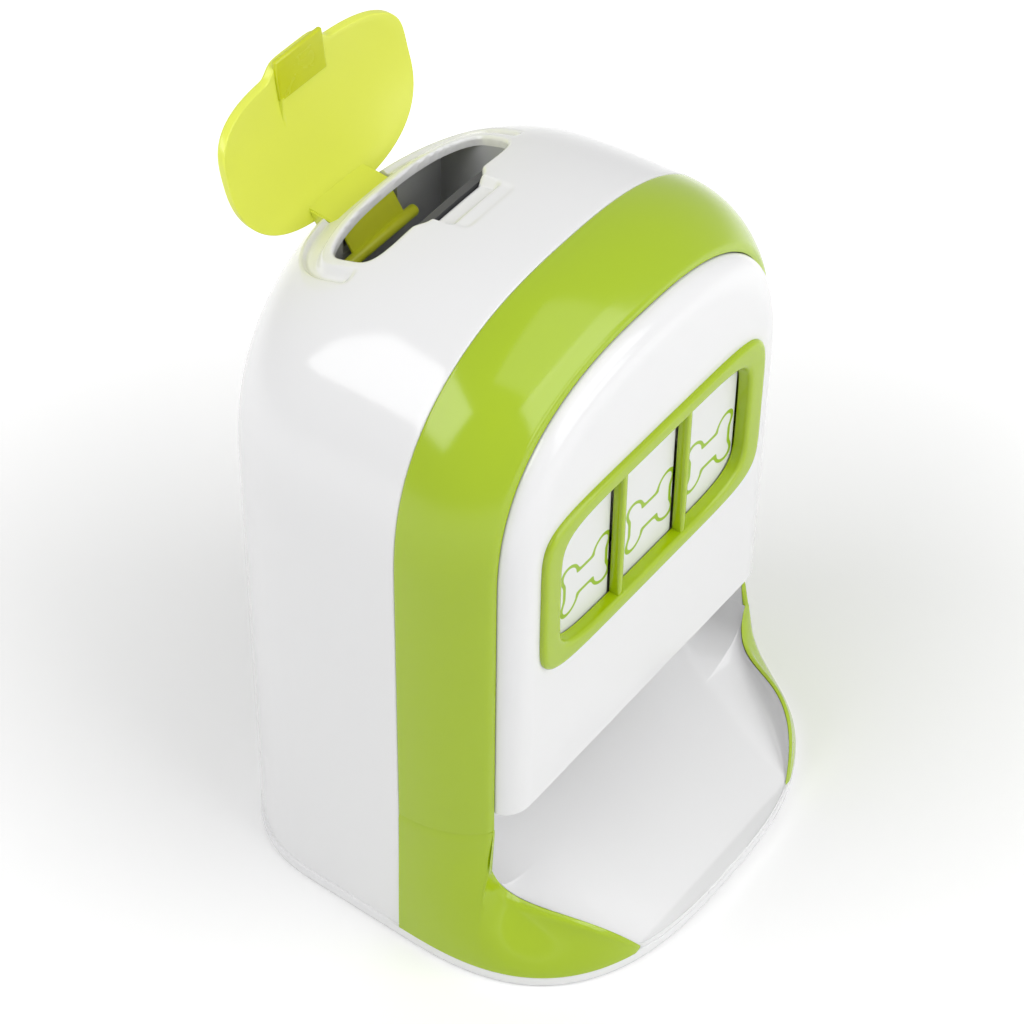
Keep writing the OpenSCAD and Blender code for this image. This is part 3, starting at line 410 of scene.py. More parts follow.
def use_group(tree, source, **values):
    """Places a shared effect with its own values."""
    made = tree.nodes.new("ShaderNodeGroup")
    made.node_tree = source
    for key, value in values.items():
        made.inputs[key].default_value = value
    return made


def wear(tree, look, shader, strength, depth, colour=None):
    """Gives the shader an effect's roughness and relief, and its colour unless another is given."""
    tree.links.new(colour or look.outputs["Color"], shader.inputs["Base Color"])
    tree.links.new(look.outputs["Roughness"], shader.inputs["Roughness"])
    bump = node(tree, "ShaderNodeBump", Strength=strength, Distance=depth)
    tree.links.new(look.outputs["Height"], bump.inputs["Height"])
    tree.links.new(bump.outputs["Normal"], shader.inputs["Normal"])


PEEL_STRENGTH, PEEL_DEPTH, RING_STRENGTH, RING_DEPTH = 0.05, 0.0002, 0.15, 0.00005


def plastic(name, colour, gloss=0.2, haze=0.06, cloud=0.03, peel=0.6):
    """Moulded plastic finish with its own colour and gloss."""
    material, tree, shader = finish(name)
    look = use_group(tree, MOULDED, Color=colour + (1.0,), Cloud=cloud, Gloss=gloss, Haze=haze, Peel=peel)
    wear(tree, look, shader, PEEL_STRENGTH, PEEL_DEPTH)
    shader.inputs["IOR"].default_value = 1.5
    return material


def metal(name, colour, gloss=0.28, tarnish=0.15):
    """Turned metal finish with its own colour and tarnish."""
    material, tree, shader = finish(name)
    look = use_group(tree, TURNED, Color=colour + (1.0,), Gloss=gloss, Tarnish=tarnish)
    wear(tree, look, shader, RING_STRENGTH, RING_DEPTH)
    shader.inputs["Metallic"].default_value = 1.0
    return material


def printed_belt():
    """Light grey belt with green bone outlines."""
    material, tree, shader = finish("belt_print")
    grey, print_green = (0.75, 0.755, 0.75, 1.0), (0.28, 0.46, 0.003, 1.0)
    look = use_group(tree, MOULDED, Color=grey, Cloud=0.05, Gloss=0.38, Haze=0.08, Peel=0.6)
    bones = use_group(tree, BONES, Stroke=0.07)
    mix = tree.nodes.new("ShaderNodeMix")
    mix.data_type = "RGBA"
    tree.links.new(bones.outputs["Mask"], mix.inputs["Factor"])
    tree.links.new(look.outputs["Color"], mix.inputs["A"])
    mix.inputs["B"].default_value = print_green
    wear(tree, look, shader, PEEL_STRENGTH, PEEL_DEPTH, mix.outputs["Result"])
    return material


WHITE = plastic("white_gloss", (0.79, 0.79, 0.795), gloss=0.12, haze=0.04, cloud=0.015)
GREEN = plastic("lime_gloss", (0.355, 0.50, 0.002), gloss=0.13, haze=0.04, cloud=0.04)
LID_GREEN = plastic("lid_lime", (0.74, 0.80, 0.085), gloss=0.28, haze=0.06, cloud=0.03)
TAB_GREEN = plastic("tab_lime", (0.56, 0.61, 0.003), gloss=0.25, haze=0.06, cloud=0.03)
STRAP_GREEN = plastic("strap_lime", (0.80, 0.84, 0.03), gloss=0.35, haze=0.06, cloud=0.05)
HOPPER_GREY = plastic("hopper_grey", (0.47, 0.475, 0.49), gloss=0.34, haze=0.1, cloud=0.1, peel=1.5)
# Near-black finish that paints shade on the strip over the hopper's front edge
THROAT_PAINTED_SHADE = plastic("throat_painted_shade", (0.05, 0.05, 0.052), gloss=0.5, haze=0.1, cloud=0.1, peel=1.5)
BELT = printed_belt()
INNER_WHITE = plastic("inner_white", (0.72, 0.72, 0.70), gloss=0.42, haze=0.1, cloud=0.05)
NYLON = plastic("nylon", (0.66, 0.63, 0.53), gloss=0.45, haze=0.1, cloud=0.06)
AMBER = plastic("amber_acetal", (0.55, 0.30, 0.05), gloss=0.4, haze=0.1, cloud=0.06)
BLACK = plastic("black_moulding", (0.02, 0.02, 0.022), gloss=0.45, haze=0.1, cloud=0.1, peel=1.5)
RUBBER = plastic("pad_rubber", (0.05, 0.05, 0.053), gloss=0.7, haze=0.15, cloud=0.15, peel=3.0)
BOARD = plastic("coated_board", (0.02, 0.14, 0.055), gloss=0.3, haze=0.1, cloud=0.25)
CELL = plastic("cell_sleeve", (0.03, 0.10, 0.26), gloss=0.3, haze=0.1, cloud=0.1)
STEEL = metal("turned_steel", (0.56, 0.57, 0.59))
PLATED = metal("plated_strip", (0.60, 0.56, 0.45), gloss=0.3, tarnish=0.25)


# Rear shell
def mouth_outline():
    """Plan of the hopper's mouth: bowed out at the back, stepped forward at the tab's pocket."""
    back_bow, front_set, step, step_run = 4.0, 1.8, 3.0, 5.0
    x, y = oblong(MOUTH_W, MOUTH_REAR - MOUTH_FRONT, 5, 320).T
    back = -back_bow * (2 * np.abs(x) / MOUTH_W) ** 2
    front = -front_set - step * (1.0 - ease((np.abs(x) - BUMP_HALF) / step_run))
    return np.stack([x, (MOUTH_FRONT + MOUTH_REAR) / 2 + y + np.where(y > 0, back, front)], -1)


def lid_side(reach=0.0, count=90):
    """Right half of the shut lid's plan, from the middle of its front to the neck, evenly spaced."""
    front_n, rear_n, past_neck, fall = 4.5, 2.35, 0.6, 8
    a = math.pi / 2 * np.linspace(0.0, 1.0, 600) ** 3
    front = np.stack([LID_HALF * np.sin(a) ** (2 / front_n),
                      LID_MID - (LID_MID - LID_FRONT) * np.cos(a) ** (2 / front_n)], -1)
    span = LID_REAR + past_neck - LID_MID
    b = np.linspace(0.0, math.pi / 2, 400)
    rear = np.stack([LID_HALF * np.cos(b) ** (2 / rear_n), LID_MID + span * np.sin(b) ** (2 / rear_n)], -1)
    plan = np.concatenate([front, rear[(rear[:, 0] > NECK_HALF) & (rear[:, 1] < LID_REAR)]])
    bump = reach * np.exp(-(plan[:, 0] / BUMP_HALF) ** fall)
    plan[:, 1] -= np.where(plan[:, 1] < LID_MID, bump, 0.0)
    far = np.concatenate([[0.0], np.cumsum(np.hypot(*np.diff(plan, axis=0).T))])
    at = np.linspace(0.0, far[-1], count)
    return np.stack([np.interp(at, far, plan[:, 0]), np.interp(at, far, plan[:, 1])], -1)


def lid_seat_outline(grow):
    """Plan of the shut lid without its thumb bump, made larger all round."""
    right = lid_side(0.0, 60)
    plan = np.concatenate([right, (right * [-1, 1])[-1:0:-1]])
    middle = np.array([0.0, LID_MID])
    reach = np.hypot(*(plan - middle).T)[:, None]
    return middle + (plan - middle) * (1 + grow / np.maximum(reach, 1.0))


def tail_rows(first, count):
    """Depths from a place on the tail to its flat end, closer together as it rounds off."""
    span, flat = REAR - TAIL_START, 0.4
    a0, a1 = (math.asin((along / span) ** (TAIL_N / 2)) for along in (first - TAIL_START, span - flat))
    return TAIL_START + span * np.sin(np.linspace(a0, a1, count)) ** (2 / TAIL_N)


def build_rear_shell():
    """White back, sides and top, with the mouth, the tab's pocket and the groove under the lid."""
    # Columns lie close together over the top and follow the arch down the flanks, rows round the openings
    top_share = 0.62
    a0 = math.acos(top_share ** (ARCH_N / 2))
    flank = np.cos(np.linspace(0, a0, 26, endpoint=False)) ** (2 / ARCH_N)
    share = np.concatenate([flank, np.linspace(top_share, -top_share, 165), -flank[::-1]])
    rows = np.concatenate([np.linspace(-2.3, 21.5, 14), np.arange(22.0, 78.6, 0.62), tail_rows(78.8, 16)])
    W = half_width(rows)[:, None]
    X = W * share[None, :]
    Y = np.repeat(rows[:, None], len(share), 1)

    mouth = mouth_outline()
    pocket_half, pocket_front = np.array([TAB_HALF + 0.9, 9.5]), TAB_FRONT - 1.9
    pocket = pocket_half * oblong(2, 2, 9, 80) + [0.0, pocket_front + pocket_half[1]]
    notch_x, notch_front, notch_rear = NECK_HALF + 0.6, 71.5, 81.6
    notch = np.array([[notch_x, notch_front], [notch_x, notch_rear],
                      [-notch_x, notch_rear], [-notch_x, notch_front]])

    # Points just inside an opening move onto its edge
    near_edge = 1.1
    for outline in (mouth, notch):
        reach, near = signed_distance(X, Y, outline)
        snap = (reach < 0) & (reach > -near_edge)
        X, Y = np.where(snap, near[..., 0], X), np.where(snap, near[..., 1], Y)
    reach_mouth, reach_notch, reach_pocket, reach_seat = (
        signed_distance(X, Y, outline)[0] for outline in (mouth, notch, pocket, lid_seat_outline(0.8)))

    # The pocket is shallow at its front, and the groove leaves a rim round the mouth and fades out forward
    lip_r, sink, run, past = 1.5, 3.2, 2.6, 0.6
    pocket_run, ledge, ledge_y = 2.0, 0.18, 28.8
    rim, groove_y, groove_run, groove_share = 3.0, 43.5, 4.0, 0.95
    inward = np.clip(lip_r - reach_mouth, 0.0, lip_r)
    lip = lip_r - np.sqrt(lip_r ** 2 - inward ** 2)
    sunk = ease((past - reach_pocket) / pocket_run) * (ledge + (1 - ledge) * ease((Y - ledge_y) / run))
    groove = ease((reach_mouth - rim) / run) * ease((past - reach_seat) / run)
    groove *= ease((Y - groove_y) / groove_run)
    Z = roof(X, Y) - lip - sink * np.maximum(sunk, groove_share * groove)

    right = np.stack([W[:, 0], rows, np.full(len(rows), PLATE_H)], -1)[:, None, :]
    left = right * [-1, 1, 1]
    points = np.concatenate([right, np.stack([X, Y, Z], -1), left], 1)
    columns = points.shape[1]

    # The seam's edge turns in behind the green band
    edge = []
    for away, d in SEAM_EDGE:
        y = BAND_REAR + away
        w = float(half_width(y, d))
        x = w * share
        z = SPRING + (float(crown(y, d)) - SPRING) * bow(np.abs(share), ARCH_N)
        loop = np.stack([x, np.full_like(x, y), z], -1)
        edge.append(np.concatenate([[[w, y, PLATE_H]], loop, [[-w, y, PLATE_H]]]))
    points = np.concatenate([np.array(edge), points])

    on_edge = 0.02
    opening = np.zeros(points.shape[:2], bool)
    opening[len(edge):, 1:-1] = np.minimum(reach_mouth, reach_notch) < -on_edge
    opening = opening.ravel()
    bm = bmesh.new()
    verts = [bm.verts.new(tuple(p)) for p in points.reshape(-1, 3)]
    for f in skin(points.shape[0], columns):
        if not any(opening[i] for i in f):
            bm.faces.new([verts[i] for i in f])

    # Flat back with the power switch's slot
    slot_z, slot_deep = 45.0, 2.2
    slot = [bm.verts.new((x, rows[-1], slot_z + z)) for x, z in oblong(13.0, 5.6, 6, 32)]
    fill_face(bm, verts[-columns:], [slot], (0, 1, 0))
    bmesh.ops.delete(bm, geom=[v for v in bm.verts if not v.link_faces], context="VERTS")

    # Walls of the openings
    lip_deep, above, front, rear = 2.4, 200.0, 20.0, 82.4
    lips = []
    for e in bm.edges:
        middle = (e.verts[0].co + e.verts[1].co) / 2
        if len(e.link_faces) == 1 and middle.z > above and front < middle.y < rear:
            lips.append(e)
    draw_out(bm, lips, (0.0, 0.0, -lip_deep))
    slot_edges = [e for e in bm.edges if len(e.link_faces) == 1 and all(v in slot for v in e.verts)]
    draw_out(bm, slot_edges, (0.0, -slot_deep, 0.0))
    bmesh.ops.remove_doubles(bm, verts=bm.verts, dist=0.01)
    bmesh.ops.dissolve_degenerate(bm, edges=bm.edges, dist=0.004)
    mesh = metric_mesh(bm, "rear_shell_skin")
    place("rear_shell_skin", mesh, WHITE, "housing", ("rear_shell",), 50)


def build_front_arch():
    """Green band with rounded front edge, and a deep groove where the panel meets it."""
    rows = [(BAND_REAR - away, d) for away, d in SEAM_EDGE] + [(BAND_REAR - 0.5, 0.0)]
    rows += [(y, 0.0) for y in np.linspace(BAND_REAR - 1.2, BAND_FRONT + 1.4, 30)]
    rows += [(BAND_FRONT + EDGE_R - EDGE_R * s, EDGE_R - EDGE_R * c) for s, c in arc(15, 90, 6)]
    rows += [(BAND_FRONT + 0.5, 1.45), (BAND_FRONT + 4.0, 1.6), (BAND_FRONT + 4.0, 6.0)]
    loops = np.array([body_loop(y, d, SEAM_H + SEAM_LINE) for y, d in rows])
    piece("front_arch_band", loops, skin(*loops.shape[:2]), GREEN, "housing",
          ("front_arch",), 50)


def build_front_panel():
    """White front with a rolled edge and the window's opening."""
    edge_w, edge_top = float(half_width(BAND_FRONT)), float(crown(BAND_FRONT))
    rim_y, rim_in, roll = BAND_FRONT - 0.1, 2.0, PANEL_ROLL - 1.2
    rows = [(BAND_FRONT + 3.6, 2.4), (BAND_FRONT + 0.6, 2.3)]
    rows += [(rim_y - (rim_y - PANEL_Y) * s, rim_in + roll * (1 - c)) for s, c in arc(0, 90, 19)]
    bm = bmesh.new()
    loops = []
    for y, inset in rows:
        loop = arch_loop(y, edge_w - inset, edge_top - inset, PANEL_FOOT)
        loops.append([bm.verts.new(tuple(p)) for p in loop])
    stitch(bm, loops)
    hole = oblong(FRAME_W - FRAME_BORDER, FRAME_H - FRAME_BORDER, 5, 120)
    window = [bm.verts.new((x, PANEL_Y, WINDOW_Z + z)) for x, z in hole]
    fill_face(bm, loops[-1], [window], (0, -1, 0))
    mesh = metric_mesh(bm, "front_panel_face")
    panel = place("front_panel_face", mesh, WHITE, "housing", ("front_panel",), 40)
    round_edges(panel, 1.6, 50, 4)


def build_window_frame():
    """Green frame with a rounded border, deep inner walls and two dividers."""
    outer_r, inner_r, inner_at, back = 1.5, 1.4, 4.6, PANEL_Y + 2.4
    profile = [(0.0, PANEL_Y + 0.3), (0.0, PANEL_Y - 0.5)]
    profile += [(outer_r - outer_r * c, PANEL_Y - 0.5 - outer_r * s) for s, c in arc(20, 90, 5)]
    profile += [(inner_at + inner_r * s, PANEL_Y - 0.6 - inner_r * c) for s, c in arc(0, 90, 6)]
    profile += [(6.1, PANEL_Y + 1.2), (6.2, back), (3.2, back)]
    corner_n, end_wide = 7.0, 5.0
    loops = []
    for t, y in profile:
        wide = end_wide * float(ease(1.0 - t / FRAME_BORDER))
        p = oblong(FRAME_W + wide - 2 * t, FRAME_H - 2 * t, corner_n - t / FRAME_BORDER, 160)
        loops.append(np.stack([p[:, 0], np.full(len(p), y), WINDOW_Z + p[:, 1]], -1))
    piece("window_frame_border", loops, skin(len(loops), 160, wrap=True), GREEN, "housing",
          ("window_frame",), 40)
    half, chamfer, reach = 1.25, 0.5, FRAME_H / 2 - 4.5
    for name, side in (("window_divider_left", -1), ("window_divider_right", 1)):
        x0, x1 = side * PANE_PITCH / 2 - half, side * PANE_PITCH / 2 + half
        section = [(x0, back), (x0, PANEL_Y - 0.6), (x0 + chamfer, PANEL_Y - 1.05),
                   (x1 - chamfer, PANEL_Y - 1.05), (x1, PANEL_Y - 0.6), (x1, back)]
        points = [(x, y, WINDOW_Z + h) for h in np.linspace(-reach, reach, 9) for x, y in section]
        piece(name, points, skin(9, 6, wrap=True), GREEN, "housing", (), 60)


def build_base():
    """White plinth with rounded edges; its underside has the door's, pads' and screws' places."""
    section = [(3.0, PLATE_H), (0.5, PLATE_H), (0.12, PLATE_H - 0.15), (0.0, PLATE_H - 0.6),
               (0.0, 2.4), (0.0, 1.6), (0.25, 0.8), (0.8, 0.25), (1.6, 0.0)]
    bm = bmesh.new()
    loops = [[bm.verts.new((x, y, z)) for x, y in base_outline(inset)] for inset, z in section]
    stitch(bm, loops)
    door_gap, door_deep = 0.3, 2.0
    door = np.array(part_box("battery_door")) / MM
    x1, y0, y1 = door[1, 0] + door_gap, door[0, 1] - door_gap, door[1, 1] + door_gap
    holes = [([(-x1, y0), (x1, y0), (x1, y1), (-x1, y1)], door_deep)]
    screw_x, screw_r, screw_deep, pad_r, pad_deep = 58.5, 3.3, 2.5, 7.3, 1.5
    for side in (-1, 1):
        for y in (20.0, REAR - 22.0):
            holes.append((circle(screw_r, 36) + [side * screw_x, y], screw_deep))
        for x, y in ((58.0, -35.0), (44.0, REAR - 15.0)):
            holes.append((circle(pad_r, 36) + [side * x, y], pad_deep))
    rims = [([bm.verts.new((x, y, 0.0)) for x, y in outline], depth) for outline, depth in holes]
    fill_face(bm, loops[-1], [rim for rim, _ in rims], (0, 0, -1))
    for rim, depth in rims:
        ceiling = [bm.verts.new((v.co.x, v.co.y, depth)) for v in rim]
        stitch(bm, [rim, ceiling])
        bm.faces.new(ceiling)
    bmesh.ops.remove_doubles(bm, verts=bm.verts, dist=0.001)
    place("base_plinth", metric_mesh(bm, "base_plinth"), WHITE, "housing", ("base_plate",), 40)


def build_throat_shade_strip():
    """Strip painted near-black as shade over the hopper's front edge, under the tab's pocket, hiding that
    edge's lit top.
    """
    section = [(37.35, 6.5), (37.55, 2.5), (40.45, 2.35), (40.45, 10.0),
               (40.1, 10.0), (40.1, 2.6), (37.9, 2.7), (37.7, 6.5)]
    half, steps = 17.2, 25
    points = [(x, y, float(roof(x, y)) - drop)
              for x in np.linspace(-half, half, steps) for y, drop in section]
    piece("hopper_throat_shade_strip", points, tube(steps, len(section)), THROAT_PAINTED_SHADE, "housing",
          (), 40)


# Feet and tray share the curve of the rim between them
FOOT_T, FOOT_EDGE, FOOT_Z = 2.2, 0.3, PLATE_H + 0.1
RIM_TIP_X, RIM_UNDER = BODY_HALF - 37.0, 0.15
TRAY_LIP, TRAY_SLOPE, TRAY_T, TRAY_REAR = 7.3, 0.45, 2.2, -8.0
TRAY_REAR_HALF, TRAY_FLAT = 58.0, 20.0
RIM_TIP_Y = BAND_REAR - (FRONT + BAND_REAR) * float(bow(RIM_TIP_X / BASE_HALF, BASE_N))
RIM_TOP = SEAM_H - 18.0
RIM_SHARE = (RIM_TOP - PLATE_H) / (SEAM_H - PLATE_H)
RIM_LEAN = float(ease(RIM_SHARE))
BAND_HALF = float(half_width(BAND_FRONT))
RIM_X = float(base_half_width(BAND_FRONT)) * (1 - RIM_LEAN) + BAND_HALF * RIM_LEAN
RIM = np.array([[RIM_X, BAND_FRONT - 0.8, RIM_TOP], [RIM_TIP_X + 17.5, BAND_FRONT - 1.0, RIM_TOP - 31.8],
                [RIM_TIP_X + 23.0, RIM_TIP_Y + 9.5, RIM_TOP - 1.8],
                [RIM_TIP_X - 0.9, RIM_TIP_Y, PLATE_H + 1.2]])
RIM_IN = FOOT_T + 0.08
CHEEK_X, CHEEK_TOP_X = RIM_X - RIM_IN, BAND_HALF - RIM_IN
MIRRORED = (("right", 1.0), ("left", -1.0))


def rim_at(t):
    """Point of the rim's curve, from the band to the foot's tip."""
    return ((1 - t) ** 3 * RIM[0] + 3 * t * (1 - t) ** 2 * RIM[1]
            + 3 * t * t * (1 - t) * RIM[2] + t ** 3 * RIM[3])


# Steps up a foot: 19 to where its rim begins, and 8 above, which in front of the band lie on the rim
BAND_STEPS = np.concatenate([np.linspace(0, RIM_SHARE, 19), np.linspace(RIM_SHARE, 1, 9)[1:]])
RIM_STEPS = np.concatenate([np.linspace(0, 1, 19), np.ones(8)])


def foot_loop(low, high, share, plain, edge_r, u):
    """Loop round one slice of a foot: up its outer face, over a rounded rim and down its inner face."""
    low, high = np.array(low), np.array(high)
    g = (1 - plain) * ease(u * share) / float(ease(share)) + plain * ease(u)
    outer = low + (high - low) * np.stack([g, g, u], -1)
    cut = np.maximum(0.0, edge_r - (outer[-1, 2] - outer[:, 2]))
    side = edge_r - np.sqrt(np.maximum(0.0, edge_r ** 2 - cut ** 2))
    inward, inner_share = np.array([1.0, 0.0, 0.0]), 0.3
    outside = outer - side[:, None] * inward
    inside = outer - (FOOT_T - inner_share * side)[:, None] * inward
    return np.concatenate([outside, inside[::-1]])


def build_feet():
    """Lower ends of the band, flaring forward beside the tray."""
    tip_a = math.acos((RIM_TIP_X / BASE_HALF) ** (BASE_N / 2))
    edge_u = (BAND_REAR - RIM[0][1]) / (FRONT + BAND_REAR)
    edge_a = math.asin(edge_u ** (BASE_N / 2))
    loops = []
    # The front edge is rounded like the band's above it, down to where the rim begins
    clear, run = 0.5, 5.0
    turn = [BAND_FRONT + EDGE_R - EDGE_R * s for s, _ in arc(15, 90, 6)]
    for y in np.concatenate([np.linspace(BAND_REAR - 0.02, BAND_FRONT + EDGE_R, 14), turn]):
        low = (float(base_half_width(y)), y, FOOT_Z)
        high = (float(half_width(y)), y, SEAM_H - SEAM_LINE)
        loop = foot_loop(low, high, 1.0, 1.0, FOOT_EDGE, BAND_STEPS)
        outside = np.arange(len(loop)) < len(loop) // 2
        back = EDGE_R - math.sqrt(max(0.0, EDGE_R ** 2 - max(0.0, BAND_FRONT + EDGE_R - y) ** 2))
        loop[:, 0] -= np.where(outside, back * ease((loop[:, 2] - RIM_TOP - clear) / run), 0.0)
        loops.append(loop)
    # In front of the band the rim's rounding grows at once and fades towards the tip
    grow, grow_rate, fade = 0.8, 6, 0.7
    for t in np.linspace(0, 1, 40):
        a = edge_a + (tip_a - edge_a) * t
        x = BASE_HALF * math.cos(a) ** (2 / BASE_N)
        y = BAND_REAR - (FRONT + BAND_REAR) * math.sin(a) ** (2 / BASE_N)
        edge = FOOT_EDGE + grow * float(ease(t * grow_rate)) * (1 - fade * float(ease(t)))
        loops.append(foot_loop((x, y, FOOT_Z), rim_at(t), RIM_SHARE, t, edge, RIM_STEPS))
    loops = np.array(loops)
    for hand, side in MIRRORED:
        name = "side_foot_" + hand
        piece(name + "_flare", loops * [side, 1.0, 1.0], tube(*loops.shape[:2]), GREEN, "housing",
              (name,), 50)


def tray_floor(y):
    """Height of the tray's floor, which rises to the rear."""
    return TRAY_LIP + TRAY_SLOPE * max(0.0, y - RIM_TIP_Y)


def tray_half(y):
    """Half the width of the tray's flat floor, wider to the rear."""
    front, start = RIM_TIP_X - 1.5, RIM_TIP_Y + TRAY_FLAT
    u = min(1.0, max(0.0, (y - start) / (TRAY_REAR - start)))
    return front + (TRAY_REAR_HALF - front) * u * u


def tray_line(y, rim_x, rim_z, steps=22):
    """Top of one slice of the tray: flat floor between cheeks that curve up to the rim."""
    floor = tray_floor(y)
    x0 = min(tray_half(y), rim_x - 1.0)
    a = np.linspace(0, math.pi / 2, steps + 1)
    x = x0 + (rim_x - x0) * np.sin(a)
    z = floor + max(0.3, rim_z - floor) * (1 - np.cos(a))
    flat = np.linspace(-x0, x0, 13)[1:-1]
    xs = np.concatenate([-x[::-1], flat, x])
    zs = np.concatenate([z[::-1], np.full(len(flat), floor), z])
    return np.stack([xs, np.full_like(xs, y), zs], -1)


def build_tray():
    """White scoop with concave cheeks and a soft lip that follows the base."""
    lines = [tray_line(y, CHEEK_X, RIM_TOP - RIM_UNDER) for y in np.linspace(TRAY_REAR, RIM[0][1] + 0.4, 16)]
    for x, y, z in (rim_at(t) for t in np.linspace(0, 1, 44)):
        lines.append(tray_line(y, x - RIM_IN, z - RIM_UNDER))
    lip_in, lip_turn, lip_z = 1.2, 1.0, TRAY_LIP + 0.1
    for share in np.linspace(0.1, 0.97, 12):
        y = RIM_TIP_Y - (FRONT + RIM_TIP_Y) * share
        lines.append(tray_line(y, float(base_half_width(y)) - lip_in - lip_turn * (1 - share), lip_z))
    top = np.array(lines)
    rows, columns = top.shape[:2]
    low = top - [0.0, 0.0, TRAY_T]
    low[..., 2] = np.maximum(low[..., 2], PLATE_H + 0.05)
    size = rows * columns
    faces = skin(rows, columns) + [tuple(reversed(f)) for f in skin(rows, columns, start=size)]
    # Edges round the sheet, from one corner to the next
    grid = np.arange(size).reshape(rows, columns)
    rim = np.concatenate([grid[0], grid[1:, -1], grid[-1, -2::-1], grid[-2:0:-1, 0]]).tolist()
    faces += [(a, b, size + b, size + a) for a, b in zip(rim, rim[1:] + rim[:1])]
    piece("treat_tray_scoop", np.concatenate([top, low]), faces, WHITE, "housing",
          ("treat_tray",), 60)


def build_cheek_walls():
    """White walls that carry the tray's cheeks on up to the panel, inside the feet."""
    thick = 1.2
    z = np.linspace(RIM_TOP - 0.4, PANEL_FOOT - 0.3, 14)
    lean = np.clip((ease((z - PLATE_H) / (SEAM_H - PLATE_H)) - RIM_LEAN) / (1 - RIM_LEAN), 0.0, 1.0)
    loops = []
    for y in np.linspace(BAND_FRONT + 0.3, TRAY_REAR, 7):
        inner = np.stack([CHEEK_X + (CHEEK_TOP_X - CHEEK_X) * lean, np.full_like(z, y), z], -1)
        loops.append(np.concatenate([inner, inner[::-1] + [thick, 0.0, 0.0]]))
    loops = np.array(loops)
    for hand, side in MIRRORED:
        piece("cheek_wall_" + hand, loops * [side, 1.0, 1.0], tube(*loops.shape[:2]), WHITE, "housing",
              (), 40)


def build_tray_back():
    """White wall behind the tray, with a doorway round the end of the chute."""
    thick, door_gap, door_top, door_r = 1.2, 1.0, 57.0, 5.0
    middle_y = TRAY_REAR - thick / 2
    line = tray_line(middle_y, CHEEK_X, RIM_TOP - RIM_UNDER)[:, [0, 2]]
    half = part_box("chute")[1][0] / MM + door_gap
    door = [(half, tray_floor(middle_y))]
    door += [(half - door_r + door_r * c, door_top - door_r + door_r * s) for s, c in arc(0, 90, 8)]
    door = [(-x, z) for x, z in door] + door[::-1]
    wall_x, wall_top = CHEEK_TOP_X + 0.6, PANEL_FOOT + 2.0
    ring = [tuple(p) for p in line if p[0] < -half] + door + [tuple(p) for p in line if p[0] > half]
    ring += [(wall_x, SEAM_H), (wall_x, wall_top), (-wall_x, wall_top), (-wall_x, SEAM_H)]
    points = [(x, y, z) for y in (TRAY_REAR - thick, TRAY_REAR) for x, z in ring]
    wall = piece("tray_back_wall", points, tube(2, len(ring)), WHITE, "housing", (), 40)
    round_edges(wall, 0.4, 40, 2)


# Lid, hinge and strap
def open_lid(points):
    """Turns points of the shut lid to where it stands open."""
    a = math.radians(-LID_SWING)
    p = np.array(points, float)
    y, z = p[..., 1] - HINGE_Y, p[..., 2] - HINGE_Z
    p[..., 1] = HINGE_Y + y * math.cos(a) - z * math.sin(a)
    p[..., 2] = HINGE_Z + y * math.sin(a) + z * math.cos(a)
    return p


def build_lid_dome():
    """Domed lid with a thick rounded rim and a thumb bump."""
    bump, rim_r, foot_r, inset = 3.9, 1.1, 0.45, 0.02
    right = lid_side(bump)
    across = np.stack([np.linspace(NECK_HALF, -NECK_HALF, 12), np.full(12, LID_REAR)], -1)
    plan = np.concatenate([right, across, (right * [-1, 1])[:0:-1]])
    middle = np.array([0.0, LID_MID])
    arm = plan - middle
    reach = np.hypot(*arm.T)

    def loop(share, height):
        p = middle + arm * share
        return np.stack([p[:, 0], p[:, 1], roof(p[:, 0], p[:, 1]) + LID_GAP + height], -1)

    def drawn_in(back):
        return (1 - np.minimum(0.999, back / reach))[:, None]

    loops = [loop(share, LID_T) for share in (0.0, 0.2, 0.4, 0.6, 0.75, 0.87)]
    loops += [loop(drawn_in(inset + rim_r - rim_r * s), LID_T - rim_r + rim_r * c) for s, c in arc(0, 90, 8)]
    loops += [loop(drawn_in(inset + foot_r - foot_r * c), foot_r - foot_r * s) for s, c in arc(0, 90, 5)]
    loops += [loop(share, 0.0) for share in (0.9, 0.8, 0.65, 0.5, 0.35, 0.18, 0.0)]
    piece("lid_dome", open_lid(loops), skin(len(loops), len(plan), wrap=True), LID_GREEN, "lid",
          ("lid",), 60)


def build_lid_tab():
    """Thumb tab under the lid's front edge, and the rib that fades out behind it."""
    slope_to = 40.0
    front_z = float(crown(TAB_FRONT))
    tilt = math.atan2(float(crown(slope_to)) - front_z, slope_to - TAB_FRONT)
    c, s = math.cos(tilt), math.sin(tilt)
    tab = [(x, TAB_FRONT + along * c - up * s, front_z - 0.3 + along * s + up * c)
           for along in (0.0, TAB_LENGTH) for x in (-TAB_HALF, TAB_HALF) for up in (0.0, TAB_T)]
    faces = [(0, 1, 3, 2), (4, 6, 7, 5), (0, 2, 6, 4), (1, 5, 7, 3), (0, 4, 5, 1), (2, 3, 7, 6)]
    plate = piece("lid_thumb_tab", open_lid(tab), faces, TAB_GREEN, "lid", (), 40)
    round_edges(plate, 0.7, 40, 3)

    rib_front, rib_length, rib_deep, seat, steps = 38.5, 10.5, 1.4, 0.3, 7
    rib = []
    for share in np.linspace(0.0, 1.0, steps):
        y = rib_front + rib_length * share
        z = float(roof(-10.0, y)) + LID_GAP
        drop = rib_deep * (1 - share) ** 1.3
        rib += [(-11.0, y, z + seat), (-10.7, y, z - drop), (-9.6, y, z - drop), (-9.0, y, z + seat)]
    piece("lid_tab_rib", open_lid(rib), tube(steps, 4), LID_GREEN, "lid", (), 50)


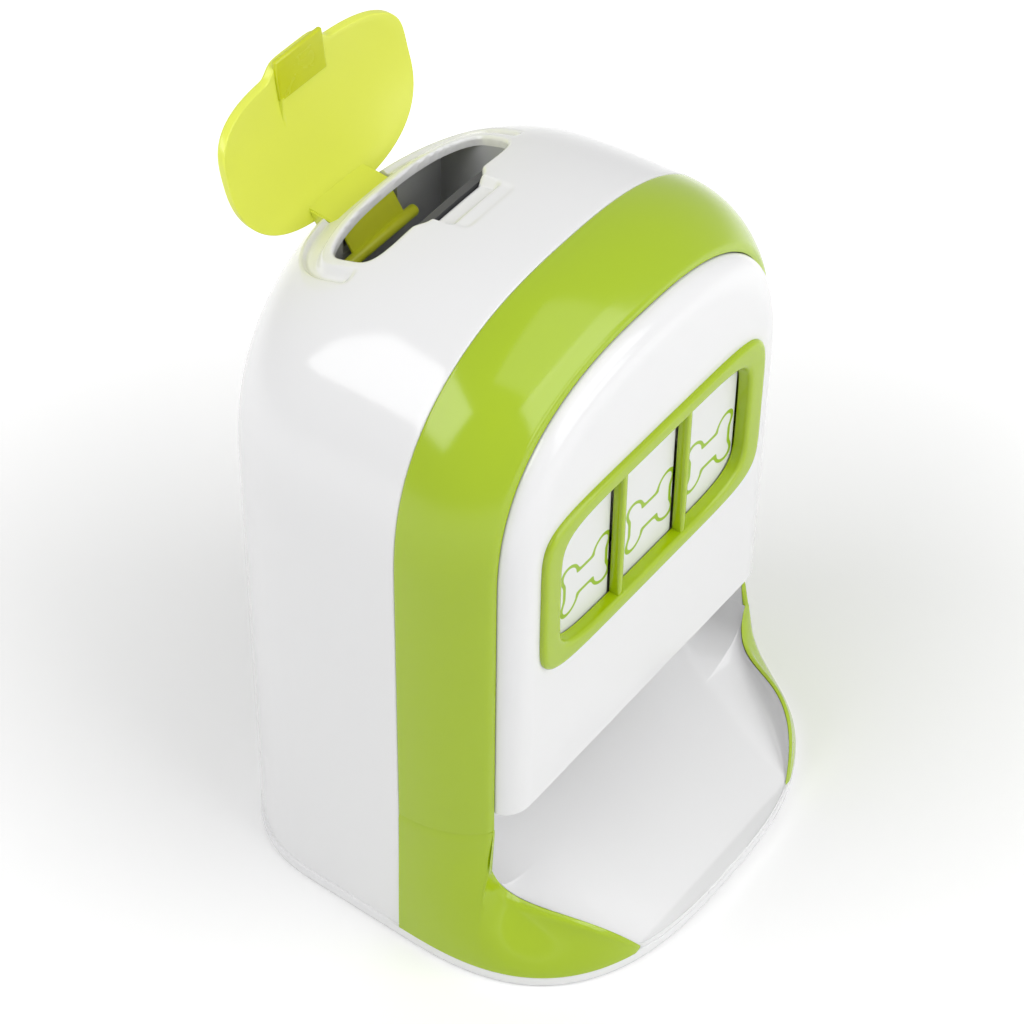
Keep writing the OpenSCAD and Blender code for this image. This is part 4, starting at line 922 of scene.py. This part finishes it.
def build_lid_neck():
    """Two knuckles, and a face that sweeps out of the lid's hollow side and runs down over them."""
    half, rise = 2.2, 1.6
    rear_top = (HINGE_Y + half, float(crown(HINGE_Y + 2.6)) + rise)
    knuckle = [(HINGE_Y + KNUCKLE_R * c, HINGE_Z + KNUCKLE_R * s) for s, c in arc(180, 360, 17)]
    knuckle += [rear_top, (HINGE_Y - half, float(crown(HINGE_Y)) + rise)]
    # The face keeps clear of the hopper's rear wall when the lid is shut
    front, low, high = HINGE_Y - 2.62, HINGE_Z - 1.0, HINGE_Z + 3.2
    foot, sweep = HINGE_Y - 6.2, 2.6
    top = float(crown(foot)) + LID_GAP
    face = [(foot + (front - foot) * s, top - sweep * (1 - c)) for s, c in arc(0, 90, 9)]
    face += [(front, low), (HINGE_Y - half, low), (HINGE_Y - half, high), (HINGE_Y + half, high),
             rear_top, (foot, top + 1.0)]
    inner, outer, face_half = EYE_HALF + 0.2, NECK_HALF - 0.1, NECK_HALF - 0.7
    for name, x0, x1, outline in (("lid_knuckle_right", inner, outer, knuckle),
                                  ("lid_knuckle_left", -outer, -inner, knuckle),
                                  ("lid_neck_face", -face_half, face_half, face)):
        points = open_lid([(x, y, z) for x in (x0, x1) for y, z in outline])
        piece(name, points, tube(2, len(outline)), LID_GREEN, "lid", (), 40)


def build_strap():
    """Flexible strap from the hinge under the mouth's rear edge, ending in a cross bar."""
    half, thick, bar_r = 12.5, 2.0, 2.0
    bar_y, bar_z = np.array(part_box("hinge_strap")[0][1:]) / MM + bar_r
    wide_y, wide_z = HINGE_Y - 3.2, HINGE_Z - 1.2
    end_y, end_half = bar_y + 0.2, 0.9
    path = [(end_y, bar_z - end_half), (wide_y, wide_z), (wide_y, wide_z + thick), (end_y, bar_z + end_half)]
    points = [(x, y, z) for x in (-half, half) for y, z in path]
    plate = piece("hinge_strap_plate", points, tube(2, 4), STRAP_GREEN, "housing",
                  ("hinge_strap",), 40)
    round_edges(plate, 0.5, 40, 3)
    ends = ((-17.0, 1.2), (-16.6, 1.75), (-16.0, bar_r), (16.0, bar_r), (16.6, 1.75), (17.0, 1.2))
    points = [(x, bar_y + y, bar_z + z) for x, r in ends for y, z in circle(r, 28)]
    piece("hinge_strap_bar", points, tube(len(ends), 28), STRAP_GREEN, "housing", (), 50)
    points = [(x, HINGE_Y + y, HINGE_Z + z) for x in (-EYE_HALF, EYE_HALF) for y, z in circle(EYE_R, 24)]
    eye = piece("hinge_strap_eye", points, tube(2, 24), STRAP_GREEN, "housing", (), 50)
    round_edges(eye, 0.4, 40, 2)


# Belts
def belt_path():
    """Places and outward directions round the three rollers, with the length from the window's middle."""
    drive = (DRIVE_Y, WINDOW_Z)
    below, above = (GUIDE_Y, WINDOW_Z - GUIDE_RISE), (GUIDE_Y, WINDOW_Z + GUIDE_RISE)
    lean = 90.0 - math.degrees(math.atan2(DRIVE_Y - GUIDE_Y, GUIDE_RISE))
    turns = ((drive, 0.0, -lean), (below, -lean, -180.0), (above, 180.0, lean), (drive, lean, 0.0))
    path = []
    for (y, z), a, b in turns:
        path += [(y, z, c, s) for s, c in arc(a, b, max(8, int(abs(b - a) / 6)))]
    path = np.array(path)
    rim = path[:, :2] + (BELT_IN + BELT_T) * path[:, 2:]
    far = np.concatenate([[0.0], np.cumsum(np.hypot(*np.diff(rim, axis=0).T))])
    return path, far - far[-1] / 2


def build_belt(name, x, print_left):
    """Endless belt round its rollers; its UV map is in centimetres, with its print moved to the left."""
    half, outer, chamfer = BELT_W / 2, BELT_IN + BELT_T, 0.25
    profile = [(-half, BELT_IN), (-half, outer - chamfer), (-half + chamfer, outer),
               (half - chamfer, outer), (half, outer - chamfer), (half, BELT_IN)]
    path, far = belt_path()
    rows = np.array([[(x + px, y + r * ny, z + r * nz) for px, r in profile] for y, z, ny, nz in path])
    columns = len(profile)
    mesh = bpy.data.meshes.new(name + "_loop")
    mesh.from_pydata([tuple(p) for p in rows.reshape(-1, 3) * MM], [], skin(len(path), columns, wrap=True))
    uv = mesh.uv_layers.new(name="belt")
    vertex = np.empty(len(mesh.loops), int)
    mesh.loops.foreach_get("vertex_index", vertex)
    across = np.array([p[0] for p in profile])[vertex % columns]
    uv.data.foreach_set("uv", np.stack([far[vertex // columns], across + print_left], -1).ravel() / 10)
    place(name + "_loop", mesh, BELT, "housing", (name,), 40)


# Small parts that show from the back and below
def build_switch_knob():
    """Ridged slide of the power switch."""
    ridges, deep, margin = 4, 0.7, 0.4
    lo, hi = np.array(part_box("switch_knob")) / MM
    pitch = (hi[0] - lo[0] - 2 * margin) / ridges
    low = hi[1] - deep
    outline = [(lo[0], low)]
    for k in range(ridges):
        x = lo[0] + margin + k * pitch
        steps = ((0.15, low), (0.35, hi[1]), (0.65, hi[1]), (0.85, low))
        outline += [(x + share * pitch, y) for share, y in steps]
    outline += [(hi[0], low), (hi[0], lo[1]), (lo[0], lo[1])]
    points = [(x, y, z) for z in (lo[2], hi[2]) for x, y in outline]
    knob = piece("switch_knob_ridged", points, tube(2, len(outline)), BLACK, "power_switch",
                 ("switch_knob",), 30)
    round_edges(knob, 0.15, 30, 2)


build_rear_shell()
build_front_arch()
build_front_panel()
build_window_frame()
build_base()
build_feet()
build_tray()
build_cheek_walls()
build_tray_back()
build_throat_shade_strip()
build_lid_dome()
build_lid_tab()
build_lid_neck()
build_strap()
for belt_name, belt_x, belt_print in (("belt_left", -PANE_PITCH, 0.0), ("belt_centre", 0.0, 0.0),
                                      ("belt_right", PANE_PITCH, 1.4)):
    build_belt(belt_name, belt_x, belt_print)
build_switch_knob()

# Finishes of the pieces that keep their own solids
SOLID_FINISH = {
    HOPPER_GREY: ("hopper",),
    INNER_WHITE: ("chute", "dispense_rotor"),
    NYLON: ("chassis_left", "chassis_right", "upper_roller", "lower_roller", "drive_roller", "roller_gear",
            "rotor_gear"),
    STEEL: ("hinge_pin", "roller_shaft", "idler_pin", "rotor_shaft", "motor_pinion", "drive_motor",
            "door_screw", "base_screws"),
    AMBER: ("idler_gear",), BOARD: ("circuit_board",), BLACK: ("battery_box", "switch_body"),
    CELL: ("batteries",), PLATED: ("battery_contacts",), WHITE: ("battery_door",), RUBBER: ("rubber_feet",),
}
for solid_finish, solid_names in SOLID_FINISH.items():
    for solid in (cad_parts[name] for name in solid_names):
        solid.data.materials.clear()
        solid.data.materials.append(solid_finish)


# Studio
def seen_rays(tree):
    """1 for rays from the camera, from gloss and through glass, 0 for the light on the object."""
    path = tree.nodes.new("ShaderNodeLightPath")
    seen = math_node(tree, "MAXIMUM", path.outputs["Is Camera Ray"], path.outputs["Is Glossy Ray"])
    return math_node(tree, "MAXIMUM", seen, path.outputs["Is Transmission Ray"])


def build_floor():
    """White paper floor that keeps the object's shadow."""
    half = 6.0
    mesh = bpy.data.meshes.new("floor")
    corners = [(-half, -half, 0), (half, -half, 0), (half, half, 0), (-half, half, 0)]
    mesh.from_pydata(corners, [], [(0, 1, 2, 3)])
    floor = bpy.data.objects.new("floor", mesh)
    bpy.context.scene.collection.objects.link(floor)
    material, tree, shader = finish("floor_paper")
    for label, value in (("Base Color", (0.9, 0.9, 0.9, 1.0)), ("Roughness", 0.9), ("Specular IOR Level", 0.0),
                         ("Emission Color", (1.0, 1.0, 1.0, 1.0))):
        shader.inputs[label].default_value = value
    # Painted shadow: the paper's glow is weakest round the object, darkening the floor there beside the real
    # shadow; beyond the object's shadow the paper fades to plain white
    near, beyond, near_glow, far_glow = 0.08, 0.6, 0.07, 0.75
    spot = node(tree, "ShaderNodeNewGeometry")
    far = node(tree, "ShaderNodeVectorMath", operation="LENGTH")
    tree.links.new(spot.outputs["Position"], far.inputs[0])
    fade = remap(tree, far.outputs["Value"], near, beyond, near_glow, far_glow)
    tree.links.new(math_node(tree, "MULTIPLY", seen_rays(tree), fade), shader.inputs["Emission Strength"])
    mesh.materials.append(material)


def build_world():
    """Soft white surround; what the camera, gloss and glass see of it is plain white."""
    world = bpy.data.worlds.new("studio")
    bpy.context.scene.world = world
    world.use_nodes = True
    tree = world.node_tree
    back = tree.nodes["Background"]
    strength = tree.nodes.new("ShaderNodeMix")
    strength.data_type = "FLOAT"
    tree.links.new(seen_rays(tree), strength.inputs["Factor"])
    strength.inputs["A"].default_value = 0.32
    strength.inputs["B"].default_value = 1.0
    back.inputs["Color"].default_value = (1.0, 1.0, 1.0, 1.0)
    tree.links.new(strength.outputs["Result"], back.inputs["Strength"])


def soft_box(name, place_at, target, width, height, power):
    """Studio lamp with a soft rectangle of light, turned to its target."""
    light = bpy.data.lights.new(name, "AREA")
    light.shape = "RECTANGLE"
    light.size, light.size_y, light.energy = width, height, power
    lamp = bpy.data.objects.new(name, light)
    lamp.location = place_at
    lamp.rotation_euler = (Vector(target) - Vector(place_at)).to_track_quat("-Z", "Y").to_euler()
    bpy.context.scene.collection.objects.link(lamp)


def build_camera():
    """Camera where the photograph was taken from."""
    a, e, roll = (math.radians(angle) for angle in (-53.844, 46.004, 0.887))
    # Focal length and the target's place in pixels of the picture, and distance in millimetres
    focal, cx, cy, distance = 3307.24, 658.35, 504.86, 1002.24
    target, picture, sensor = Vector((0.0, -40.0, 158.0)), 1024, 36.0
    back = Vector((math.sin(a) * math.cos(e), -math.cos(a) * math.cos(e), math.sin(e)))
    right = Vector((math.cos(a), math.sin(a), 0.0))
    up = back.cross(right)
    side = right * math.cos(roll) + up * math.sin(roll)
    rise = -right * math.sin(roll) + up * math.cos(roll)
    per_pixel = distance / focal
    centre = (target + back * distance - side * ((cx - picture / 2) * per_pixel)
              - rise * ((picture / 2 - cy) * per_pixel)) * MM
    data = bpy.data.cameras.new("camera")
    data.sensor_width = sensor
    data.lens = focal * sensor / picture
    data.clip_start, data.clip_end = 0.05, 50.0
    camera = bpy.data.objects.new("camera", data)
    axes = Matrix((side, rise, back)).transposed().to_4x4()
    camera.matrix_world = Matrix.Translation(centre) @ axes
    bpy.context.scene.collection.objects.link(camera)
    bpy.context.scene.camera = camera


build_floor()
build_world()
build_camera()
soft_box("left_box", (-0.88, 0.48, 1.03), (0.0, 0.0, 0.2), 1.2, 0.72, 9.5)
soft_box("front_box", (0.2, -1.04, 0.97), (0.0, 0.0, 0.2), 1.3, 0.66, 7.5)
soft_box("top_box", (0.15, -0.55, 1.6), (0.0, 0.0, 0.2), 1.3, 1.1, 5.0)
soft_box("low_box", (0.25, -1.3, 0.42), (0.0, -0.04, 0.05), 1.0, 0.4, 3.0)
bpy.context.scene.view_settings.view_transform = "Standard"
